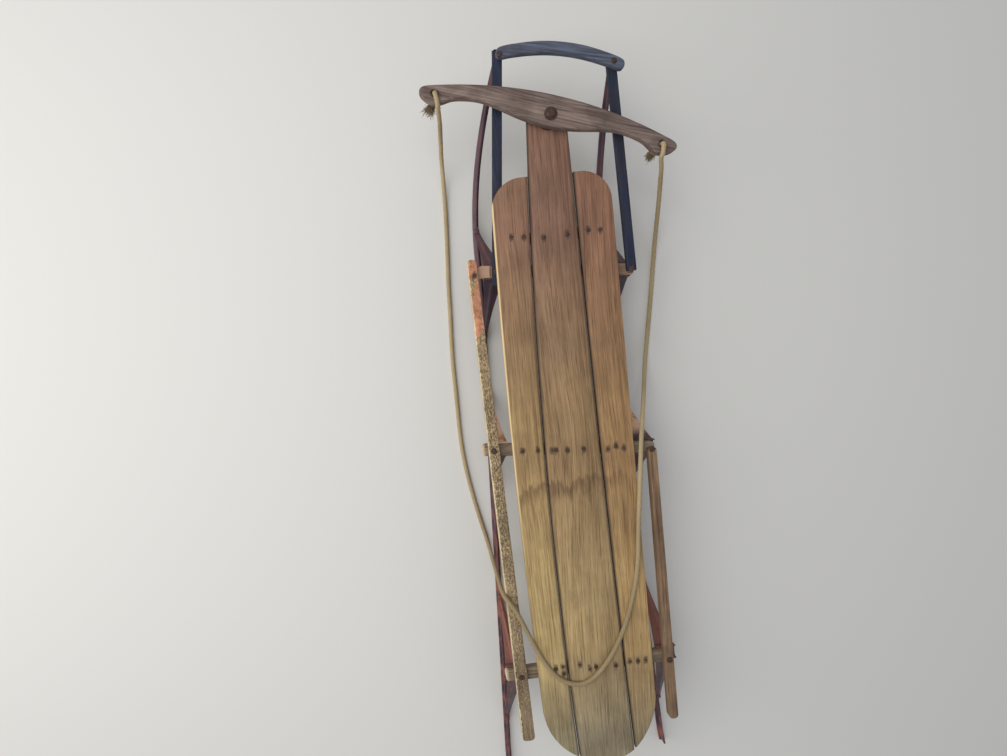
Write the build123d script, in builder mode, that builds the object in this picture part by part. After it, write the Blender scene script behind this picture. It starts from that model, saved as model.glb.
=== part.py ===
from build123d import *
import os
from math import atan, cos, pi, radians, sin, sqrt, tan

# Runner sled, wood on steel, in millimetres.
# +X is the sled's right, +Y points to the nose, +Z is up. The origin is on the floor
# under the middle of the length from the runners' tails to the nose bar.

# Overall
sled_length = 1648.0
deck_height = 172.0
tail_y = -sled_length / 2
front_y = sled_length / 2

# Deck boards
board_thickness = 10.0
deck_width = 252.0
centre_board_width = 108.0
board_gap = 4.0
deck_front_setback = 259.0
deck_tail_setback = 96.0
tail_shift = 7.0
tongue_shift = 6.0
front_corner_run = 62.0
tail_corner_run = 138.0
tail_flat_half = 62.0
tail_flat_drop = 20.0
tail_corner_in = 24.0
tail_corner_up = 61.0
tongue_reach = 147.0
tongue_tip_width = 78.0
tongue_corner = 20.0

# Cross bunks under the deck
bunk_depth = 25.0
bunk_thickness = 20.0
bunk_end_radius = 9.0
bunk_left = 196.0
bunk_right = 178.0
front_bunk_left = 167.0
front_bunk_right = 168.0
front_bunk_setback = 453.6
middle_bunk_y = -12.4
rear_bunk_setback = 318.0
front_bunk_turn = -4.8
middle_bunk_turn = -5.4
rear_bunk_turn = 0.4
front_bunk_seat_margin = 3.0
front_cleat_setback = 123.0
front_cleat_half = 100.0
front_cleat_depth = 22.0
front_cleat_thickness = 14.0

# Side rails on top of the bunks
rail_centre_x = 166.0
left_rail_width = 28.0
left_rail_front_width = 20.0
right_rail_width = 21.0
right_rail_broken_width = 18.0
rail_thickness = 15.0
rail_end_radius = 9.0
left_rail_overhang = 39.0
left_rail_rear_x = 163.5
left_rail_lean = 0.9
rail_tail_overhang = 147.0
right_rail_tail_overhang = 137.0
right_rail_lap = 1.0
break_depth = 9.0

# Runners, an upside-down T in section
runner_half_track = 160.0
runner_splay = 0.045
sole_width = 14.0
sole_thickness = 3.5
web_thickness = 4.0
runner_depth = 19.0
heel_length = 22.0
heel_rise = 7.0
rise_start_setback = 40.0
toe_setback = 18.0
right_toe_lag = 36.0
toe_bend_setback = 356.0
rise_steps = 8
toe_tab_length = 24.0
toe_tab_thickness = 4.0
toe_tab_lap = 8.0
toe_inset = 27.0
thin_run = 66.0

# Knees of pressed steel plate between bunk and runner
plate = 3.0
saddle_width = 44.0
saddle_lip = 8.0
leg_waist_width = 23.0
foot_width = 13.0
foot_pad_length = 13.0
foot_tab_length = 26.0
foot_tab_drop = 13.0
rib_width = 10.0
rib_foot_width = 5.0
rib_height = 2.6
rib_slope = 30.0
rib_end = 9.0
seat_gap = 0.3
front_knee_x = 134.0
front_knee_shift = 4.0
middle_knee_x = 160.0
rear_knee_x = 171.0
front_knee_reaches = (104.0, 128.0)
middle_knee_reaches = (104.0, 112.0)
rear_knee_reaches = (112.0, 192.0)

# Front frame, bent to the right with the steering
nose_shift = 36.0
side_bar_width = 20.0
side_bar_thickness = 10.0
side_bar_rear_x = 143.5
side_bar_rear_shift = 16.0
side_bar_toe_x = 115.5
side_bar_rear_setback = 18.0
side_bar_overrun = 11.0
nose_bar_shift = 12.0
nose_bar_setback = 14.0
nose_bar_turn = -10.8
nose_bar_half = 131.0
nose_bar_depth = 23.0
nose_bar_thickness = 15.0
nose_bar_arch = 24.0
nose_bar_taper = 2.0
nose_bar_corner = 9.0
nose_bar_edge = 2.0

# Steering bar
pivot_setback = 149.0
pivot_shift = 7.5
steering_turn = -17.8
bar_half = 264.0
bar_thickness = 20.0
bar_front_arch = 38.0
bar_middle_back = 23.0
tip_run = 8.0
tip_back = 9.0
tip_corner_back = 20.0
handle_centre_run = 30.0
handle_run = 52.0
handle_back = 28.0
handle_neck_back = 19.0
waist_centre_run = 92.0
waist_centre_back = 7.0
waist_run = 136.0
waist_back = 3.5
rope_hole_radius = 7.0
rope_hole_run = 30.0
rope_hole_back = 9.0
pivot_radius = 4.0
pivot_clearance = 0.05
spacer_radius = 23.0
spacer_thickness = 7.3
washer_radius = 13.0
washer_thickness = 1.8
bolt_head_radius = 10.0
bolt_head_height = 5.0
bolt_head_bevel = 3.0
nut_radius = 8.0
nut_height = 6.5

# Pull rope
rope_radius = 5.0
rope_sides = 8
rope_cut_z = 150.0
rope_cut_run = 10.0
rope_bend = 5.5
rope_edge_room = 3.5
rope_top_room = 0.8
knot_radius = 11.5
knot_length = 24.0

# Places along the sled that follow from the sizes above
deck_front_y = front_y - deck_front_setback
deck_tail_y = tail_y + deck_tail_setback
front_bunk_y = front_y - front_bunk_setback
rear_bunk_y = tail_y + rear_bunk_setback
front_cleat_y = deck_front_y - front_cleat_setback
left_rail_front_y = front_bunk_y + left_rail_overhang
right_rail_tail_y = rear_bunk_y - right_rail_tail_overhang
rise_start_y = front_bunk_y - rise_start_setback
toe_y = front_y - toe_setback
bend_start_y = toe_y - toe_bend_setback
side_bar_rear_y = front_bunk_y - side_bar_rear_setback
nose_bar_y = front_y - nose_bar_setback
nose_bar_x = nose_shift + nose_bar_shift
pivot_y = front_y - pivot_setback
right_rail_front_y = middle_bunk_y + rail_centre_x * tan(radians(middle_bunk_turn)) + right_rail_lap

# Levels that follow from them
board_bottom = deck_height - board_thickness
bunk_bottom = board_bottom - bunk_thickness
rail_top = board_bottom + rail_thickness
side_bar_bottom = board_bottom - side_bar_thickness
toe_sole_z = side_bar_bottom - toe_tab_thickness
bar_bottom = deck_height + spacer_thickness + seat_gap
bar_top = bar_bottom + bar_thickness

sides = [("left", -1), ("right", 1)]
# bunk: name, y at the middle, turn in degrees, reach to the left, reach to the right
bunks = [
    ("bunk_front", front_bunk_y, front_bunk_turn, front_bunk_left, front_bunk_right),
    ("bunk_middle", middle_bunk_y, middle_bunk_turn, bunk_left, bunk_right),
    ("bunk_rear", rear_bunk_y, rear_bunk_turn, bunk_left, bunk_right),
]
# knee: name, y and turn of its bunk, x of its saddle, shift to the right, reach fore and aft
knees = [
    ("knee_front", front_bunk_y, front_bunk_turn, front_knee_x, front_knee_shift, front_knee_reaches),
    ("knee_middle", middle_bunk_y, middle_bunk_turn, middle_knee_x, 0.0, middle_knee_reaches),
    ("knee_rear", rear_bunk_y, rear_bunk_turn, rear_knee_x, 0.0, rear_knee_reaches),
]
# shift of the deck's lines to the right, at the deck's front, the middle bunk and the tail
deck_bows = {
    "left_edge": (4.0, -5.5, 9.0),
    "left_gap": (12.0, -7.5, 6.0),
    "right_gap": (-7.0, 0.0, 19.0),
    "right_edge": (0.0, 2.0, 5.0),
}
# how far each runner's toe is drawn back by the steering
toe_lags = {-1: 0.0, 1: right_toe_lag}
# rope end: degrees to the left of straight back over the bar's edge, then its step out and back
rope_leads = {"left": (-6.0, 3.0, -12.0), "right": (11.5, 18.0, -22.0)}

os.makedirs("parts", exist_ok=True)


def save(node, name):
    node.part.label = name
    export_step(node.part, "parts/" + name + ".step")


def runner_toe(side):
    return toe_y - toe_lags[side]


def runner_height(side, y):
    """Height of the sole: lifted at the heel, flat on the floor, then an arc up to the toe."""
    heel = max(0.0, 1 - (y - tail_y) / heel_length)
    run = max(0.0, y - rise_start_y)
    toe_run = runner_toe(side) - rise_start_y
    radius = (toe_run**2 + toe_sole_z**2) / (2 * toe_sole_z)
    return heel_rise * heel + radius - sqrt(radius**2 - run**2)


def runner_plan(side, y):
    """Sideways place of the runner: splayed to the tail, drawn in and bent over at the toe."""
    bend = max(0.0, (y - bend_start_y) / (runner_toe(side) - bend_start_y)) ** 2
    half = runner_half_track - runner_splay * min(y, rise_start_y) - toe_inset * bend
    return side * half + nose_shift * bend


def web_rise(side, y):
    """Height of the section above the sole, lower at the toe."""
    thin = max(0.0, 1 - (runner_toe(side) - y) / thin_run)
    return runner_depth * (1 - thin) + toe_tab_thickness * thin


def runner_stations(side):
    rise_step = (runner_toe(side) - rise_start_y) / rise_steps
    rise = [rise_start_y + rise_step * n for n in range(rise_steps + 1)]
    return [tail_y, tail_y + heel_length, 0.0] + rise


def on_runner(side, value, y):
    """A station's value carried along the straight run between two stations."""
    stations = runner_stations(side)
    for low, high in zip(stations, stations[1:]):
        if low <= y <= high:
            share = (y - low) / (high - low)
            return value(side, low) * (1 - share) + value(side, high) * share
    return value(side, y)


def runner_x(side, y):
    return on_runner(side, runner_plan, y)


def web_top(side, y):
    return on_runner(side, lambda at, station: runner_height(at, station) + web_rise(at, station), y)


def deck_line(name, x):
    """Three points of a line along the deck: at its front, at the middle bunk and at its tail."""
    return [(x + bow, y) for bow, y in zip(deck_bows[name], (deck_front_y, middle_bunk_y, deck_tail_y))]


# Deck: each side board is cut from the deck's outline along its bowed gap to the centre board
deck_half = deck_width / 2
gap_centre = (centre_board_width + board_gap) / 2
for side_name, side in sides:
    edge_front, edge_middle, edge_tail = deck_line(side_name + "_edge", side * deck_half)
    inner = deck_line(side_name + "_gap", side * (gap_centre + board_gap / 2))
    far_x = side * deck_width
    with BuildPart() as board:
        with BuildSketch(Plane.XY.offset(board_bottom)):
            with BuildLine():
                side_start = (edge_tail[0], deck_tail_y + tail_corner_run)
                side_end = (edge_front[0], deck_front_y - front_corner_run)
                corner_end = (edge_front[0] - side * front_corner_run, deck_front_y)
                tail_corner = (side * tail_flat_half + tail_shift, deck_tail_y + tail_flat_drop)
                ThreePointArc(side_start, edge_middle, side_end)
                RadiusArc(side_end, corner_end, -side * front_corner_run)
                Line(corner_end, (0, deck_front_y))
                Line((0, deck_front_y), (0, deck_tail_y + tail_flat_drop))
                Line((0, deck_tail_y + tail_flat_drop), tail_corner)
                ThreePointArc(
                    tail_corner,
                    (edge_tail[0] - side * tail_corner_in, deck_tail_y + tail_corner_up),
                    side_start,
                )
            make_face()
            with BuildLine():
                ThreePointArc(*inner)
                Polyline(inner[2], (far_x, deck_tail_y), (far_x, deck_front_y), inner[0])
            make_face(mode=Mode.INTERSECT)
        extrude(amount=board_thickness)
    save(board, "deck_board_" + side_name)

# The centre board has the round tail and runs on in front as the tongue under the steering bar
with BuildPart() as centre_board:
    with BuildSketch(Plane.XY.offset(board_bottom)):
        with BuildLine():
            left = deck_line("left_gap", board_gap / 2 - gap_centre)
            right = deck_line("right_gap", gap_centre - board_gap / 2)
            low = tongue_shift - tongue_tip_width / 2
            high = tongue_shift + tongue_tip_width / 2
            tip_y = deck_front_y + tongue_reach
            left_tail = (left[2][0], deck_tail_y + tail_flat_drop)
            right_tail = (right[2][0], deck_tail_y + tail_flat_drop)
            ThreePointArc(left_tail, left[1], left[0])
            Line(left[0], (low, tip_y - tongue_corner))
            RadiusArc((low, tip_y - tongue_corner), (low + tongue_corner, tip_y), tongue_corner)
            Line((low + tongue_corner, tip_y), (high - tongue_corner, tip_y))
            RadiusArc((high - tongue_corner, tip_y), (high, tip_y - tongue_corner), tongue_corner)
            Line((high, tip_y - tongue_corner), right[0])
            ThreePointArc(right[0], right[1], right_tail)
            ThreePointArc(right_tail, (tail_shift, deck_tail_y), left_tail)
        make_face()
        with Locations((pivot_shift, pivot_y)):
            Circle(pivot_radius + pivot_clearance, mode=Mode.SUBTRACT)
    extrude(amount=board_thickness)
save(centre_board, "deck_board_centre")

# Bunks: bars with rounded ends. The front one is let down in the middle for the side bars.
for name, bunk_y, turn, left_reach, right_reach in bunks:
    bunk_plane = Plane(origin=(0, bunk_y, bunk_bottom)).rotated((0, 0, turn))
    with BuildPart() as bunk:
        with BuildSketch(bunk_plane):
            with Locations(((right_reach - left_reach) / 2, 0)):
                RectangleRounded(left_reach + right_reach, bunk_depth, bunk_end_radius)
        extrude(amount=bunk_thickness)
        if name == "bunk_front":
            seat_half = side_bar_rear_x + side_bar_width / 2 + front_bunk_seat_margin
            with BuildSketch(bunk_plane.offset(side_bar_bottom - bunk_bottom)):
                with Locations((side_bar_rear_shift, 0)):
                    Rectangle(2 * seat_half, 2 * bunk_depth)
            extrude(amount=side_bar_thickness, mode=Mode.SUBTRACT)
    save(bunk, name)

with BuildPart() as cleat:
    with BuildSketch(Plane.XY.offset(board_bottom - front_cleat_thickness)):
        with Locations((0, front_cleat_y)):
            Rectangle(2 * front_cleat_half, front_cleat_depth)
    extrude(amount=front_cleat_thickness)
save(cleat, "front_cleat")

# Side rails: the left one whole, the right one broken off at the middle bunk
left_rail_seat = Plane(origin=(-left_rail_rear_x, rear_bunk_y, board_bottom))
left_rail_plane = left_rail_seat.rotated((0, 0, left_rail_lean))
front_run = left_rail_front_y - rear_bunk_y
with BuildPart() as left_rail:
    with BuildSketch(left_rail_plane):
        with BuildLine():
            Polyline(
                (-left_rail_width / 2, -rail_tail_overhang),
                (left_rail_width / 2, -rail_tail_overhang),
                (left_rail_front_width / 2, front_run),
                (-left_rail_front_width / 2, front_run),
                close=True,
            )
        outline = make_face()
        fillet(outline.vertices(), rail_end_radius)
    extrude(amount=rail_thickness)
save(left_rail, "side_rail_left")

with BuildPart() as right_rail:
    with BuildSketch(Plane.XY.offset(board_bottom)):
        with BuildLine():
            inner = rail_centre_x - right_rail_width / 2
            outer = rail_centre_x + right_rail_width / 2
            end_y = right_rail_tail_y + rail_end_radius
            broken_inner = rail_centre_x - right_rail_broken_width / 2
            Polyline(
                (inner, end_y),
                (broken_inner, right_rail_front_y - break_depth),
                (broken_inner + 0.25 * right_rail_broken_width, right_rail_front_y),
                (broken_inner + 0.45 * right_rail_broken_width, right_rail_front_y - 0.7 * break_depth),
                (broken_inner + 0.7 * right_rail_broken_width, right_rail_front_y + 0.2 * break_depth),
                (broken_inner + right_rail_broken_width, right_rail_front_y - 0.4 * break_depth),
                (outer, end_y),
            )
            RadiusArc((outer, end_y), (outer - rail_end_radius, right_rail_tail_y), rail_end_radius)
            Line((outer - rail_end_radius, right_rail_tail_y), (inner + rail_end_radius, right_rail_tail_y))
            RadiusArc((inner + rail_end_radius, right_rail_tail_y), (inner, end_y), rail_end_radius)
        make_face()
    extrude(amount=rail_thickness)
save(right_rail, "side_rail_right")

# Runners: the T section carried through stations along the sled, with a flat tab at the toe
for side_name, side in sides:
    with BuildPart() as runner:
        foot = sole_width / 2
        web = web_thickness / 2
        for y in runner_stations(side):
            x = runner_plan(side, y)
            low = runner_height(side, y)
            high = low + web_rise(side, y)
            shoulder = low + sole_thickness
            with BuildSketch(Plane.XZ.offset(-y)):
                with BuildLine():
                    Polyline(
                        (x - foot, low),
                        (x + foot, low),
                        (x + foot, shoulder),
                        (x + web, shoulder),
                        (x + web, high),
                        (x - web, high),
                        (x - web, shoulder),
                        (x - foot, shoulder),
                        close=True,
                    )
                make_face()
        loft(ruled=True)
        tab_run = toe_tab_length + toe_tab_lap
        tab_y = runner_toe(side) + toe_tab_length - tab_run / 2
        with BuildSketch(Plane.XY.offset(toe_sole_z)):
            with Locations((runner_plan(side, runner_toe(side)), tab_y)):
                RectangleRounded(sole_width, tab_run, sole_width / 2 - 0.5)
        extrude(amount=toe_tab_thickness)
    save(runner, "runner_" + side_name)

# Knees: a saddle under the bunk and two legs that spread to the runner. Each leg is a plate
# cut to a waisted leaf, with a pressed rib down its middle, a foot on the web and a tab beside it.
for base_name, bunk_y, turn, saddle_x, saddle_shift, reaches in knees:
    for side_name, side in sides:
        saddle_z = bunk_bottom - plate
        top_x = side * saddle_x + saddle_shift
        seat_y = bunk_y + top_x * tan(radians(turn))
        saddle = Plane(origin=(top_x, seat_y, saddle_z)).rotated((0, 0, turn))
        with BuildPart() as knee:
            for way, reach in zip((1, -1), reaches):
                foot_y = seat_y + way * reach
                foot_x = runner_x(side, foot_y)
                pad_ends = (foot_y - foot_pad_length / 2, foot_y + foot_pad_length / 2)
                foot_z = max(web_top(side, end_y) for end_y in pad_ends) + seat_gap
                top = saddle.from_local_coords(Vector(0, way * bunk_depth / 2, 0))
                to_foot = Vector(foot_x, foot_y, foot_z) - top
                leg_run = saddle.y_dir * to_foot.dot(saddle.y_dir) + Vector(0, 0, to_foot.Z)
                length = leg_run.length
                down = leg_run.normalized()
                leg_plane = Plane(origin=top, x_dir=down, z_dir=saddle.x_dir.cross(down) * way)
                flip = 1 if leg_plane.y_dir.X > 0 else -1
                shift = flip * to_foot.dot(saddle.x_dir)
                with BuildSketch(leg_plane):
                    with BuildLine():
                        top_half = saddle_width / 2
                        waist_half = leg_waist_width / 2
                        foot_half = foot_width / 2
                        Line((-plate, -top_half), (-plate, top_half))
                        Line((-plate, top_half), (0, top_half))
                        half_run = length / 2
                        half_shift = shift / 2
                        outer_foot = (length, shift + foot_half)
                        inner_foot = (length, shift - foot_half)
                        ThreePointArc((0, top_half), (half_run, half_shift + waist_half), outer_foot)
                        Line(outer_foot, (length + plate, shift + foot_half))
                        Line((length + plate, shift + foot_half), (length + plate, shift - foot_half))
                        Line((length + plate, shift - foot_half), inner_foot)
                        ThreePointArc(inner_foot, (half_run, half_shift - waist_half), (0, -top_half))
                        Line((0, -top_half), (-plate, -top_half))
                    make_face()
                extrude(amount=-plate)
                rib_start = rib_end
                rib_stop = length - rib_end
                with BuildSketch(leg_plane):
                    with BuildLine():
                        start_x = shift * rib_start / length
                        stop_x = shift * rib_stop / length
                        Polyline(
                            (rib_start, start_x - rib_width / 2),
                            (rib_start, start_x + rib_width / 2),
                            (rib_stop, stop_x + rib_foot_width / 2),
                            (rib_stop, stop_x - rib_foot_width / 2),
                            close=True,
                        )
                    make_face()
                extrude(amount=rib_height, taper=rib_slope)
                with BuildSketch(Plane.XY.offset(foot_z)):
                    with Locations((foot_x, foot_y)):
                        Rectangle(foot_width + 2 * plate, foot_tab_length)
                extrude(amount=-2 * plate, mode=Mode.SUBTRACT)
                web_in = min(side * runner_x(side, foot_y + end * foot_tab_length / 2) for end in (-1, 1))
                tab_x = side * (web_in - web_thickness / 2 - plate / 2 - seat_gap)
                with BuildSketch(Plane.XY.offset(foot_z + plate)):
                    with Locations((tab_x, foot_y)):
                        Rectangle(plate, foot_tab_length)
                extrude(amount=-foot_tab_drop - plate)
                with BuildSketch(Plane.XY.offset(foot_z)):
                    with Locations((foot_x, foot_y)):
                        Rectangle(foot_width, foot_pad_length)
                extrude(amount=plate)
            with BuildSketch(saddle.offset(plate)):
                Rectangle(saddle_width, bunk_depth + 4 * plate)
            extrude(amount=2 * plate, mode=Mode.SUBTRACT)
            with BuildSketch(saddle):
                Rectangle(saddle_width, bunk_depth + 2 * plate)
            extrude(amount=plate)
            lip_offset = (bunk_depth + plate) / 2
            with BuildSketch(saddle):
                with Locations((0, -lip_offset), (0, lip_offset)):
                    Rectangle(saddle_width, plate)
            extrude(amount=plate + saddle_lip)
        save(knee, base_name + "_" + side_name)

# Front side bars: straight links from the front bunk to the nose bar
for side_name, side in sides:
    rear_x = side * side_bar_rear_x + side_bar_rear_shift
    toe_x = side * side_bar_toe_x + nose_shift
    from_middle = toe_x - nose_bar_x
    arch_drop = nose_bar_arch * (from_middle / nose_bar_half) ** 2
    toe_end_y = nose_bar_y + from_middle * tan(radians(nose_bar_turn)) - arch_drop + side_bar_overrun
    lean = atan((toe_x - rear_x) / (toe_end_y - side_bar_rear_y))
    bar_length = (toe_end_y - side_bar_rear_y) / cos(lean)
    bar_plane = Plane(
        origin=(rear_x, side_bar_rear_y, side_bar_bottom),
        x_dir=(sin(lean), cos(lean), 0),
        z_dir=(0, 0, 1),
    )
    with BuildPart() as side_bar:
        with BuildSketch(bar_plane):
            with Locations((bar_length / 2, 0)):
                RectangleRounded(bar_length, side_bar_width, 2.5)
        extrude(amount=side_bar_thickness)
    save(side_bar, "front_side_bar_" + side_name)

# Nose bar: arched forward, with rounded ends
nose_angle = radians(nose_bar_turn)
nose_plane = Plane(
    origin=(nose_bar_x, nose_bar_y, board_bottom),
    x_dir=(cos(nose_angle), sin(nose_angle), 0),
    z_dir=(0, 0, 1),
)
with BuildPart() as nose_bar:
    with BuildSketch(nose_plane) as nose_outline:
        with BuildLine():
            front = nose_bar_depth / 2
            end_front = front - nose_bar_arch
            end_back = nose_bar_taper - front - nose_bar_arch
            ThreePointArc((-nose_bar_half, end_front), (0, front), (nose_bar_half, end_front))
            Line((nose_bar_half, end_front), (nose_bar_half, end_back))
            ThreePointArc((nose_bar_half, end_back), (0, -front), (-nose_bar_half, end_back))
            Line((-nose_bar_half, end_back), (-nose_bar_half, end_front))
        make_face()
        fillet(nose_outline.vertices(), nose_bar_corner)
    extrude(amount=nose_bar_thickness)
    chamfer(nose_bar.edges().group_by(Axis.Z)[-1], nose_bar_edge)
save(nose_bar, "nose_bar")

# Steering bar: one forward arch, with a narrow waist and a thick handle swept back on each arm
steering_angle = radians(steering_turn)
steering_plane = Plane(
    origin=(pivot_shift, pivot_y, bar_bottom),
    x_dir=(cos(steering_angle), sin(steering_angle), 0),
    z_dir=(0, 0, 1),
)
# right half of the outline, from the front of the tip round to the waist: run in from the end, back
tip_front = (bar_half - tip_run, 0.0)
tip_end = (bar_half, -tip_back)
tip_rear = (bar_half - tip_run, -tip_corner_back)
handle_full = (bar_half - handle_centre_run, -handle_back)
handle_neck = (bar_half - handle_run, -handle_neck_back)
waist_centre = (bar_half - waist_centre_run, -waist_centre_back)
waist_end = (bar_half - waist_run, -waist_back)
right_arcs = [
    (tip_front, tip_end, tip_rear),
    (tip_rear, handle_full, handle_neck),
    (handle_neck, waist_centre, waist_end),
]
with BuildPart() as steering_bar:
    with BuildSketch(steering_plane):
        with BuildLine():
            ThreePointArc((-tip_front[0], tip_front[1]), (0, bar_front_arch), tip_front)
            for arc in right_arcs:
                ThreePointArc(*arc)
                ThreePointArc(*[(-u, v) for u, v in arc])
            ThreePointArc(waist_end, (0, -bar_middle_back), (-waist_end[0], waist_end[1]))
        make_face()
        hole_reach = bar_half - rope_hole_run
        with Locations((-hole_reach, -rope_hole_back), (hole_reach, -rope_hole_back)):
            Circle(rope_hole_radius, mode=Mode.SUBTRACT)
        Circle(pivot_radius + pivot_clearance, mode=Mode.SUBTRACT)
    extrude(amount=bar_thickness)
save(steering_bar, "steering_bar")

# Pivot: a spacer on the tongue, and a bolt with its washer and nut
with BuildPart() as spacer:
    with BuildSketch(Plane.XY.offset(deck_height)):
        with Locations((pivot_shift, pivot_y)):
            Circle(spacer_radius)
            Circle(pivot_radius + pivot_clearance, mode=Mode.SUBTRACT)
    extrude(amount=spacer_thickness)
save(spacer, "pivot_spacer")

washer_z = bar_top + seat_gap
head_z = washer_z + washer_thickness
with BuildPart() as bolt:
    with BuildSketch(Plane.XY.offset(board_bottom - nut_height)):
        with Locations((pivot_shift, pivot_y)):
            RegularPolygon(nut_radius, 6)
    extrude(amount=nut_height)
    # stack on the pivot: foot, head, radius
    for low, high, radius in [
        (board_bottom - nut_height, head_z, pivot_radius),
        (washer_z, head_z, washer_radius),
        (head_z, head_z + bolt_head_height, bolt_head_radius),
    ]:
        with BuildSketch(Plane.XY.offset(low)):
            with Locations((pivot_shift, pivot_y)):
                Circle(radius)
        extrude(amount=high - low)
    chamfer(bolt.edges().sort_by(Axis.Z)[-1], bolt_head_bevel)
save(bolt, "pivot_bolt")

# Rope ends on the steering bar: a knot below, up through the hole, over the rear edge and down
edge_depth = handle_back - rope_hole_back + rope_radius + rope_edge_room
over_z = bar_top + rope_radius + rope_top_room
knot_top_z = bar_bottom - seat_gap
rope_starts = {}
for side_name, side in sides:
    hole = steering_plane.from_local_coords(Vector(side * hole_reach, -rope_hole_back, 0))
    lead_turn, step_x, step_y = rope_leads[side_name]
    lead = Vector(0, -1, 0).rotate(Axis.Z, -lead_turn)
    back = hole + lead * (edge_depth / cos(steering_angle + radians(lead_turn)))
    drop = back + Vector(step_x, step_y, 0)
    rope_starts[side_name] = drop
    with BuildPart() as rope_end:
        with BuildLine() as route:
            turn = lead * rope_bend
            Polyline(
                (hole.X, hole.Y, knot_top_z - knot_length / 2),
                (hole.X, hole.Y, over_z - rope_bend),
                (hole.X + turn.X, hole.Y + turn.Y, over_z),
                (back.X - turn.X, back.Y - turn.Y, over_z),
                (back.X, back.Y, over_z - rope_bend),
                (drop.X, drop.Y, rope_cut_z + rope_cut_run),
                (drop.X, drop.Y, rope_cut_z + seat_gap),
            )
        with BuildSketch(Plane(origin=route.line @ 0, z_dir=(0, 0, 1))):
            RegularPolygon(rope_radius, rope_sides)
        sweep(path=route.line, transition=Transition.RIGHT)
        # knot: depth below the bar as a share of its length, width as a share of its radius
        for depth, width in [(0.0, 0.7), (0.35, 1.0), (0.65, 0.9), (1.0, 0.5)]:
            with BuildSketch(Plane.XY.offset(knot_top_z - depth * knot_length)):
                with Locations((hole.X, hole.Y)):
                    RegularPolygon(width * knot_radius, rope_sides)
        loft(ruled=True)
    save(rope_end, "rope_end_" + side_name)

# Rope: from under the bar's left end to the floor, along the sled, up over the left rail,
# in a loop over the tail of the deck, off past the middle bunk, and up to the bar's right end
floor_z = rope_radius + seat_gap
deck_z = deck_height + rope_radius + seat_gap
left_start = rope_starts["left"]
right_start = rope_starts["right"]
rope_points = [
    (left_start.X, left_start.Y, rope_cut_z),
    (left_start.X, left_start.Y, 130),
    (-209.5, 690, 104),
    (-208.5, 676, 76),
    (-208, 656, 48),
    (-207, 626, 24),
    (-207, 583, 9.5),
    (-209, 530, floor_z),
    (-214, 455, floor_z),
    (-220, 380, floor_z),
    (-224, 298, floor_z),
    (-230, 205, floor_z),
    (-230, 100, floor_z),
    (-232, -10, floor_z),
    (-221, -110, floor_z),
    (-206, -196, floor_z),
    (-193, -256, 12),
    (-189, -281, 66),
    (-188, -290, 130),
    (-189.5, -300, 187),
    (-158, -334, 184.5),
    (-137, -398, 179),
    (-112, -470, deck_z),
    (-73, -521, deck_z),
    (-23, -535, deck_z),
    (24, -500, deck_z),
    (64, -438, deck_z),
    (93, -366, deck_z),
    (114, -285, deck_z),
    (122, -190, deck_z),
    (134, -92, 178),
    (144, -14, 173),
    (157, 32, 156),
    (179, 72, 116),
    (206, 107, 60),
    (228, 148, 18),
    (246, 220, floor_z),
    (262, 315, floor_z),
    (269, 366, 7.5),
    (273, 412, 17),
    (272, 452, 38),
    (267, 484, 64),
    (260, 510, 90),
    (251, 530, 115),
    (right_start.X, right_start.Y, 131),
    (right_start.X, right_start.Y, rope_cut_z),
]
points = [Vector(*point) for point in rope_points]
radii = []
for before, corner, after in zip(points, points[1:], points[2:]):
    bend_angle = radians((corner - before).get_angle(after - corner))
    shorter = min((corner - before).length, (after - corner).length)
    radii.append(0.45 * shorter / tan(bend_angle / 2))
print("rope radii", [round(radius) for radius in radii])
with BuildPart() as rope:
    with BuildLine() as route:
        FilletPolyline(*points, radius=radii)
    with BuildSketch(Plane(origin=points[0], z_dir=points[1] - points[0])):
        RegularPolygon(rope_radius, rope_sides)
    sweep(path=route.line)
route_length = sum(edge.length for edge in route.edges())
section = rope_sides * rope_radius**2 * sin(2 * pi / rope_sides) / 2
print("rope length", round(route_length))
print("rope volume over section times length", rope.part.volume / (route_length * section))
save(rope, "rope")
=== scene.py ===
from math import atan2, cos, pi, radians, sin, sqrt
from random import Random

import bmesh
import bpy
from mathutils import Matrix, Vector


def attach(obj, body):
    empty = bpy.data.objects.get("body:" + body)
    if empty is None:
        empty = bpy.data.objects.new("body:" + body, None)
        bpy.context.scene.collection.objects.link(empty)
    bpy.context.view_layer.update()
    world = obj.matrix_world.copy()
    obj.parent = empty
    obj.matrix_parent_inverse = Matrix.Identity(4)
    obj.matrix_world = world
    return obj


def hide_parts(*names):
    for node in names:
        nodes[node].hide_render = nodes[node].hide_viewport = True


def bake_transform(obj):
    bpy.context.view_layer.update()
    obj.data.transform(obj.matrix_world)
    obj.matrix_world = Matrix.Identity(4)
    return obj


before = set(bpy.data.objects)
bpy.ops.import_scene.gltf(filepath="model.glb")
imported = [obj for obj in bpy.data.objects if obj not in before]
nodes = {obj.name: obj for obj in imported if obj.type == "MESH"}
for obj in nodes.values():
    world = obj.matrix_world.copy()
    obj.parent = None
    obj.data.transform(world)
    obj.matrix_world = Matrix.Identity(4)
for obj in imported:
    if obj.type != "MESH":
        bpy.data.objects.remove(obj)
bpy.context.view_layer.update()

# Old runner sled: a wooden deck and rails on painted steel runners, with its pull rope.
# Metres. X is the sled's right, Y points to its nose and Z up.

scene = bpy.context.scene
bpy.ops.object.select_all(action="DESELECT")
levels = {"bunkBottom": 0.142, "boardBottom": 0.162, "deck": 0.172, "railTop": 0.177}
sides = (("Left", -1), ("Right", 1))
upward = Vector((0, 0, 1))
quarterRound = 0.5523  # how far a Bezier handle reaches to its corner for a quarter of a circle


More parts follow.
